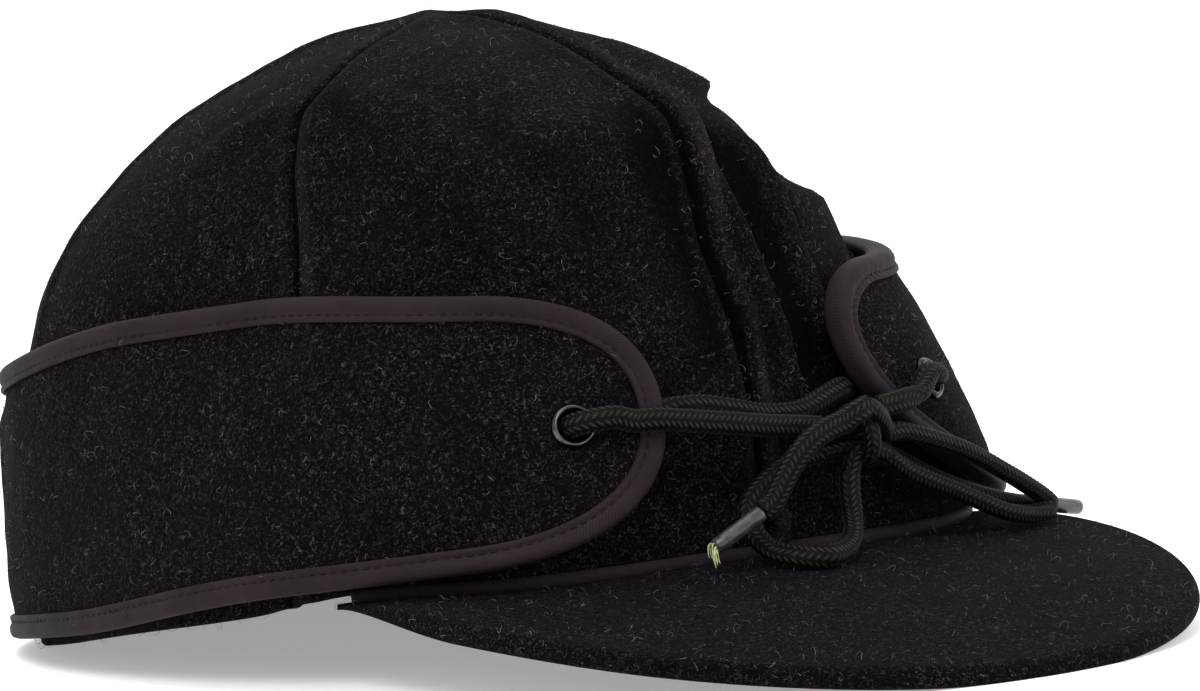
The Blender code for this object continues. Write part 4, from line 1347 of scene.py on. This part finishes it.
def make_aglet(node, start, end):
    """A tip's sleeve, and the place and direction of its free end."""
    start, end = Vector(start), Vector(end)
    ahead = (end - start).normalized()
    start = start + ahead * GAP
    side = ahead.orthogonal().normalized()
    across = ahead.cross(side)
    profile = [(0.0, 0.4), (0.0, 0.9), (0.0003, 1.0), (0.003, 0.98), (0.006, 0.96),
               (0.009, 0.97), (AGLET_LENGTH - 0.0006, 0.95), (AGLET_LENGTH - 0.0002, 0.86),
               (AGLET_LENGTH, 0.5)]
    rings = []
    for along, share in profile:
        ring = []
        for i in range(AGLET_SIDES):
            turn = 2.0 * math.pi * i / AGLET_SIDES
            lap = 1.0 + 0.05 * ((i / AGLET_SIDES + 0.15) % 1.0)
            ring.append(start + ahead * along + AGLET_RADIUS * share * lap
                        * (side * math.cos(turn) + across * math.sin(turn)))
        rings.append(ring)
    points, faces = skin(rings, "flat")
    sleeve = make_object(node + "_sleeve", points, faces, finish_of(sleeve_finish))
    return settle(sleeve, node, node), start + ahead * AGLET_LENGTH, ahead


def make_frayed_ends(tip, ahead, node):
    """Short loose ends of the lace's white and yellow-green core at one tip."""
    rng = random.Random(11)
    shapes = []
    for _ in range(FRAYED_THREADS):
        spread = Vector((rng.uniform(-1, 1), rng.uniform(-1, 1), rng.uniform(-1, 1))) * 0.0009
        base = tip - ahead * 0.0012 + spread * 0.5
        fall = Vector((rng.uniform(-0.0004, 0.0004), 0.0, -rng.uniform(0.0016, 0.0036)))
        route = [base, base + ahead * 0.0012 + spread * 0.4,
                 base + ahead * 0.0014 + fall * 0.6 + spread * 0.6,
                 base + ahead * 0.0012 + fall + spread * 0.7]
        shapes.append(plain_tube(fine_route(route, 0.0003), FRAYED_RADIUS, 5))
    points, faces, _ = join_shapes(shapes)
    ends = make_object("frayed_ends", points, faces, finish_of(frayed_finish))
    return settle(ends, node)


def plain_tube(path, radius, sides):
    """Points, faces and no stitches of a thread that thins to half at its end."""
    _, normals, sideways = tube_frames(path, from_floor)
    rings = []
    for i, centre in enumerate(path):
        size = radius * (1.0 - 0.5 * i / (len(path) - 1))
        turns = [2.0 * math.pi * j / sides for j in range(sides)]
        rings.append([tuple(centre + (normals[i] * math.cos(turn)
                                      + sideways[i] * math.sin(turn)) * size)
                      for turn in turns])
    points, faces = skin(rings, "flat")
    return points, faces, [0.0] * len(points)


# Loose hairs

def hair_shapes(folder):
    """Curled hairs to scatter, each a thin three-sided strand."""
    rng = random.Random(5)
    for k in range(HAIR_KINDS):
        length = rng.uniform(0.0012, 0.0026)
        curl = rng.uniform(0.5, 1.5) * math.pi
        path = []
        for i in range(7):
            t = i / 6.0
            angle = curl * t
            path.append((length * 0.42 * math.sin(angle), length * 0.25 * (1 - math.cos(angle)),
                         -0.0002 + length * (0.30 * math.sin(math.pi * min(t * 1.1, 1.0))
                                             + 0.10 * t * (k % 3))))
        points, faces, _ = plain_tube(np.array(path), HAIR_RADIUS, 3)
        mesh = bpy.data.meshes.new("hair")
        mesh.from_pydata(points, [], faces)
        folder.objects.link(bpy.data.objects.new("hair", mesh))


def hair_tree(folder):
    """Hairs from a folder, strewn over the faces of a mesh at random turns and sizes."""
    growth = Growth("loose_hairs", Density=("Float", 60000.0), Seed=("Int", 3),
                    Hair=("Material", None))
    given, node = growth.given, growth.node
    strewn = node("GeometryNodeDistributePointsOnFaces", None,
                  {"Mesh": given["Geometry"], "Density": given["Density"],
                   "Seed": given["Seed"]}, output="Points")
    hairs = node("GeometryNodeCollectionInfo", None,
                 {"Collection": folder, "Separate Children": True, "Reset Children": True})
    angles = node("FunctionNodeRandomValue", {"data_type": "FLOAT_VECTOR"},
                  {0: (-0.9, -0.9, 0.0), 1: (0.9, 0.9, 6.283)})
    turn = node("FunctionNodeEulerToRotation", None, {0: angles})
    turned = node("FunctionNodeRotateRotation", {"rotation_space": "LOCAL"},
                  {0: strewn.beside("Rotation"), 1: turn})
    size = node("FunctionNodeRandomValue", None, {2: 0.55, 3: 1.35}, output=1)
    laid = node("GeometryNodeInstanceOnPoints", None,
                {"Points": strewn, "Instance": hairs, "Pick Instance": True,
                 "Rotation": turned, "Scale": size})
    return growth.end(laid, "Hair")


def outer_patch(name):
    """A copy of a finished piece's outward faces, which the hairs grow from."""
    source = bpy.data.objects[name]
    work = bmesh.new()
    work.from_mesh(source.data)
    middle = POSE @ Vector((0.0, 0.0, 0.02))
    hidden = []
    for face in work.faces:
        away = face.calc_center_median() - middle
        if name == "visor_wool":
            inner = face.normal.z < -0.2
        else:
            inner = face.normal.dot(away) < 0.0
        if inner or face.calc_center_median().z < 0.001:
            hidden.append(face)
    bmesh.ops.delete(work, geom=hidden, context="FACES")
    mesh = bpy.data.meshes.new(name + "_hairs")
    work.to_mesh(mesh)
    work.free()
    return in_scene(name.replace("_wool", "") + "_hairs", mesh)


def make_hairs():
    """Loose hairs on the crown, the band and the visor."""
    sizes = bpy.context.scene.cap_sizes
    folder = bpy.data.collections.new("hair_shapes")
    hair_shapes(folder)
    hair = finish_of(hair_finish)
    tree = hair_tree(folder)
    for seed, name in enumerate(("crown_wool", "ear_band_wool", "visor_wool")):
        patch = outer_patch(name)
        patch.data.materials.clear()
        patch.data.materials.append(hair)
        grow(patch, tree, Density=sizes.hair_density, Seed=seed + 3, Hair=hair)
        settle(patch, name.replace("_wool", ""))
    for item in list(folder.objects):
        bpy.data.objects.remove(item, do_unlink=True)
    bpy.data.collections.remove(folder)


# Stage

# Place, aim, width and height, and watts of each soft light
LIGHTS = {
    "key": ((-1.1, -1.0, 1.5), (0.0, -0.02, 0.05), (0.9, 0.9), 19.0),
    "fill": ((1.3, -1.2, 0.8), (0.0, -0.02, 0.05), (1.0, 0.8), 9.0),
    "top": ((0.0, 0.3, 1.7), (0.0, 0.0, 0.05), (1.4, 1.2), 11.0),
}
WORLD_STRENGTH = 0.95
FLOOR_GLOW = 0.34
# The floor's sweep, before it is turned to face the camera
FLOOR_TURN = -36.0
FLOOR_NEAR, FLOOR_BEND, FLOOR_BEND_RADIUS, FLOOR_TOP = -2.2, 1.6, 0.9, 4.0
FLOOR_HALF_WIDTH = 4.0
FLOOR_BEND_STEPS = 14


def make_light(name, at, aim, size, energy):
    data = bpy.data.lights.new(name, "AREA")
    data.shape = "RECTANGLE"
    data.size, data.size_y = size
    data.energy = energy
    light = in_scene(name, data)
    light.location = at
    light.rotation_euler = (Vector(aim) - Vector(at)).to_track_quat("-Z", "Y").to_euler()


def make_camera():
    """The photograph's camera, at its place in the cap's frame."""
    data = bpy.data.cameras.new("camera")
    data.lens = CAMERA_LENS
    data.sensor_width = 36.0
    data.sensor_fit = "HORIZONTAL"
    data.clip_start = 0.05
    data.clip_end = 40.0
    camera = in_scene("camera", data)
    axes = Matrix((CAMERA_RIGHT, CAMERA_UP, CAMERA_BACK)).transposed().to_4x4()
    camera.matrix_world = POSE @ Matrix.Translation(CAMERA_AT) @ axes
    bpy.context.scene.camera = camera


def make_floor():
    """A pale floor that bends up into a wall behind the cap."""
    profile = [(FLOOR_NEAR, 0.0), (FLOOR_BEND, 0.0)]
    for k in range(1, FLOOR_BEND_STEPS + 1):
        angle = math.pi / 2.0 * k / FLOOR_BEND_STEPS
        profile.append((FLOOR_BEND + FLOOR_BEND_RADIUS * math.sin(angle),
                        FLOOR_BEND_RADIUS - FLOOR_BEND_RADIUS * math.cos(angle)))
    profile.append((FLOOR_BEND + FLOOR_BEND_RADIUS, FLOOR_TOP))
    turn = Matrix.Rotation(math.radians(FLOOR_TURN), 4, "Z")
    points = [turn @ Vector((side, y, z))
              for y, z in profile for side in (-FLOOR_HALF_WIDTH, FLOOR_HALF_WIDTH)]
    faces = [(2 * i, 2 * i + 1, 2 * i + 3, 2 * i + 2) for i in range(len(profile) - 1)]
    mesh = bpy.data.meshes.new("studio_floor")
    mesh.from_pydata([tuple(point) for point in points], [], faces)
    mesh.shade_smooth()
    shader = Shader("pale_paper", roughness=0.9, specular_ior_level=0.1,
                    emission_color=(1.0, 1.0, 1.0), emission_strength=FLOOR_GLOW)
    tone = shader.noise(shader.coordinates(), 3.0, 2.0).band(0.3, 0.7)
    mesh.materials.append(shader.finish(
        base_color=shader.mix(tone, (0.84, 0.84, 0.85), (0.86, 0.86, 0.86))))
    in_scene("studio_floor", mesh)


def make_stage():
    """Camera, floor, white surroundings and three soft lights."""
    make_camera()
    make_floor()
    scene = bpy.context.scene
    world = bpy.data.worlds.new("studio")
    world.use_nodes = True
    backdrop = world.node_tree.nodes["Background"]
    backdrop.inputs["Color"].default_value = (1.0, 1.0, 1.0, 1.0)
    backdrop.inputs["Strength"].default_value = WORLD_STRENGTH
    scene.world = world
    for name, values in LIGHTS.items():
        make_light(name, *values)
    scene.view_settings.view_transform = "Standard"
    scene.view_settings.look = "None"
    scene.view_settings.exposure = 0.0


# Add-on

class CapSizes(bpy.types.PropertyGroup):
    lace_step: FloatProperty(
        name="Lace step", description="Distance between the rings of the lace's mesh",
        default=0.00021, min=0.0001, max=0.001, unit="LENGTH", precision=5)
    stitch_pitch: FloatProperty(
        name="Stitch pitch", description="Distance from stitch to stitch on the piping",
        default=0.0023, min=0.001, max=0.006, unit="LENGTH", precision=4)
    hair_density: FloatProperty(
        name="Hair density", description="Loose hairs on each square metre of wool",
        default=56000.0, min=0.0, max=90000.0)


class CapColours(bpy.types.PropertyGroup):
    wool: FloatVectorProperty(
        name="Wool", description="Darkest colour of the felt", subtype="COLOR", size=3,
        default=(0.0011, 0.0008, 0.0011), min=0.0, max=1.0)
    wool_light: FloatVectorProperty(
        name="Wool, lighter", description="Lighter colour of the felt's surface",
        subtype="COLOR", size=3, default=(0.0038, 0.0029, 0.0038), min=0.0, max=1.0)
    hair: FloatVectorProperty(
        name="Grey hairs", description="Colour of the grey fibres in the felt",
        subtype="COLOR", size=3, default=(0.150, 0.134, 0.146), min=0.0, max=1.0)
    tape: FloatVectorProperty(
        name="Bias tape", description="Darker colour of the piping's tape",
        subtype="COLOR", size=3, default=(0.0090, 0.0058, 0.0077), min=0.0, max=1.0)
    tape_light: FloatVectorProperty(
        name="Bias tape, lighter", description="Lighter colour of the piping's tape",
        subtype="COLOR", size=3, default=(0.0220, 0.0146, 0.0186), min=0.0, max=1.0)
    # painted shade: the lace's colour in its grooves
    lace: FloatVectorProperty(
        name="Lace", description="Colour in the lace's grooves", subtype="COLOR", size=3,
        default=(0.0016, 0.0015, 0.0013), min=0.0, max=1.0)
    # painted highlight: the lace's colour on its stitches
    lace_light: FloatVectorProperty(
        name="Lace, lighter", description="Colour of the lace's stitches", subtype="COLOR",
        size=3, default=(0.0290, 0.0255, 0.0205), min=0.0, max=1.0)


class CAP_OT_crown(bpy.types.Operator):
    """Build the crown of six felted wool panels."""
    bl_idname = "cap.crown"
    bl_label = "Crown"

    def execute(self, context):
        make_crown()
        return {"FINISHED"}


class CAP_OT_visor(bpy.types.Operator):
    """Build the wool-covered visor and the tape in its seam."""
    bl_idname = "cap.visor"
    bl_label = "Visor"

    def execute(self, context):
        make_visor()
        make_welt()
        return {"FINISHED"}


class CAP_OT_ear_band(bpy.types.Operator):
    """Build the ear band with its two holes."""
    bl_idname = "cap.ear_band"
    bl_label = "Ear band"

    def execute(self, context):
        make_band()
        return {"FINISHED"}


class CAP_OT_piping(bpy.types.Operator):
    """Fold the bias tape over the ear band's edge and stitch it."""
    bl_idname = "cap.piping"
    bl_label = "Piping"

    def execute(self, context):
        make_piping()
        make_stitches()
        return {"FINISHED"}


class CAP_OT_eyelets(bpy.types.Operator):
    """Set the two metal eyelets."""
    bl_idname = "cap.eyelets"
    bl_label = "Eyelets"

    def execute(self, context):
        make_eyelets()
        return {"FINISHED"}


class CAP_OT_lace(bpy.types.Operator):
    """Run the braided lace through the eyelets and tie its bow."""
    bl_idname = "cap.lace"
    bl_label = "Lace"

    def execute(self, context):
        knot = make_knot()
        right, tip, ahead = make_aglet("aglet_right", TAIL_RIGHT[-1], AGLET_RIGHT_END)
        frayed = make_frayed_ends(tip, ahead, "aglet_right")
        left, *_ = make_aglet("aglet_left", TAIL_LEFT[-1], AGLET_LEFT_END)
        make_lace_piece("lace_across", across_route())
        make_lace_piece("bow_loop_right", LOOP_RIGHT)
        make_lace_piece("bow_loop_left", LOOP_LEFT, outward=from_floor)
        make_lace_piece("bow_tail_right", TAIL_RIGHT)
        make_lace_piece("bow_tail_left", TAIL_LEFT, outward=from_floor)
        return {"FINISHED"}


class CAP_OT_hairs(bpy.types.Operator):
    """Scatter loose curled hairs over the wool."""
    bl_idname = "cap.hairs"
    bl_label = "Loose hairs"

    def execute(self, context):
        make_hairs()
        return {"FINISHED"}


class CAP_OT_stage(bpy.types.Operator):
    """Set up the floor, the lights and the camera."""
    bl_idname = "cap.stage"
    bl_label = "Stage"

    def execute(self, context):
        make_stage()
        return {"FINISHED"}


OPERATORS = (CAP_OT_stage, CAP_OT_lace, CAP_OT_crown, CAP_OT_visor, CAP_OT_ear_band,
             CAP_OT_piping, CAP_OT_eyelets, CAP_OT_hairs)


class CAP_PT_panel(bpy.types.Panel):
    """List the cap's sizes, colours and pieces."""
    bl_idname = "CAP_PT_panel"
    bl_label = "Wool cap"
    bl_space_type = "VIEW_3D"
    bl_region_type = "UI"
    bl_category = "Wool cap"

    def draw(self, context):
        for group in (context.scene.cap_sizes, context.scene.cap_colours):
            for key in group.bl_rna.properties.keys():
                if key not in ("name", "rna_type"):
                    self.layout.prop(group, key)
        for operator in OPERATORS:
            self.layout.operator(operator.bl_idname)


CLASSES = (CapSizes, CapColours, *OPERATORS, CAP_PT_panel)


def register():
    for item in CLASSES:
        bpy.utils.register_class(item)
    bpy.types.Scene.cap_sizes = PointerProperty(type=CapSizes)
    bpy.types.Scene.cap_colours = PointerProperty(type=CapColours)


def unregister():
    del bpy.types.Scene.cap_colours
    del bpy.types.Scene.cap_sizes
    for item in reversed(CLASSES):
        bpy.utils.unregister_class(item)


def main():
    register()
    for operator in OPERATORS:
        getattr(bpy.ops.cap, operator.bl_idname.split(".")[1])()


if __name__ == "__main__":
    main()
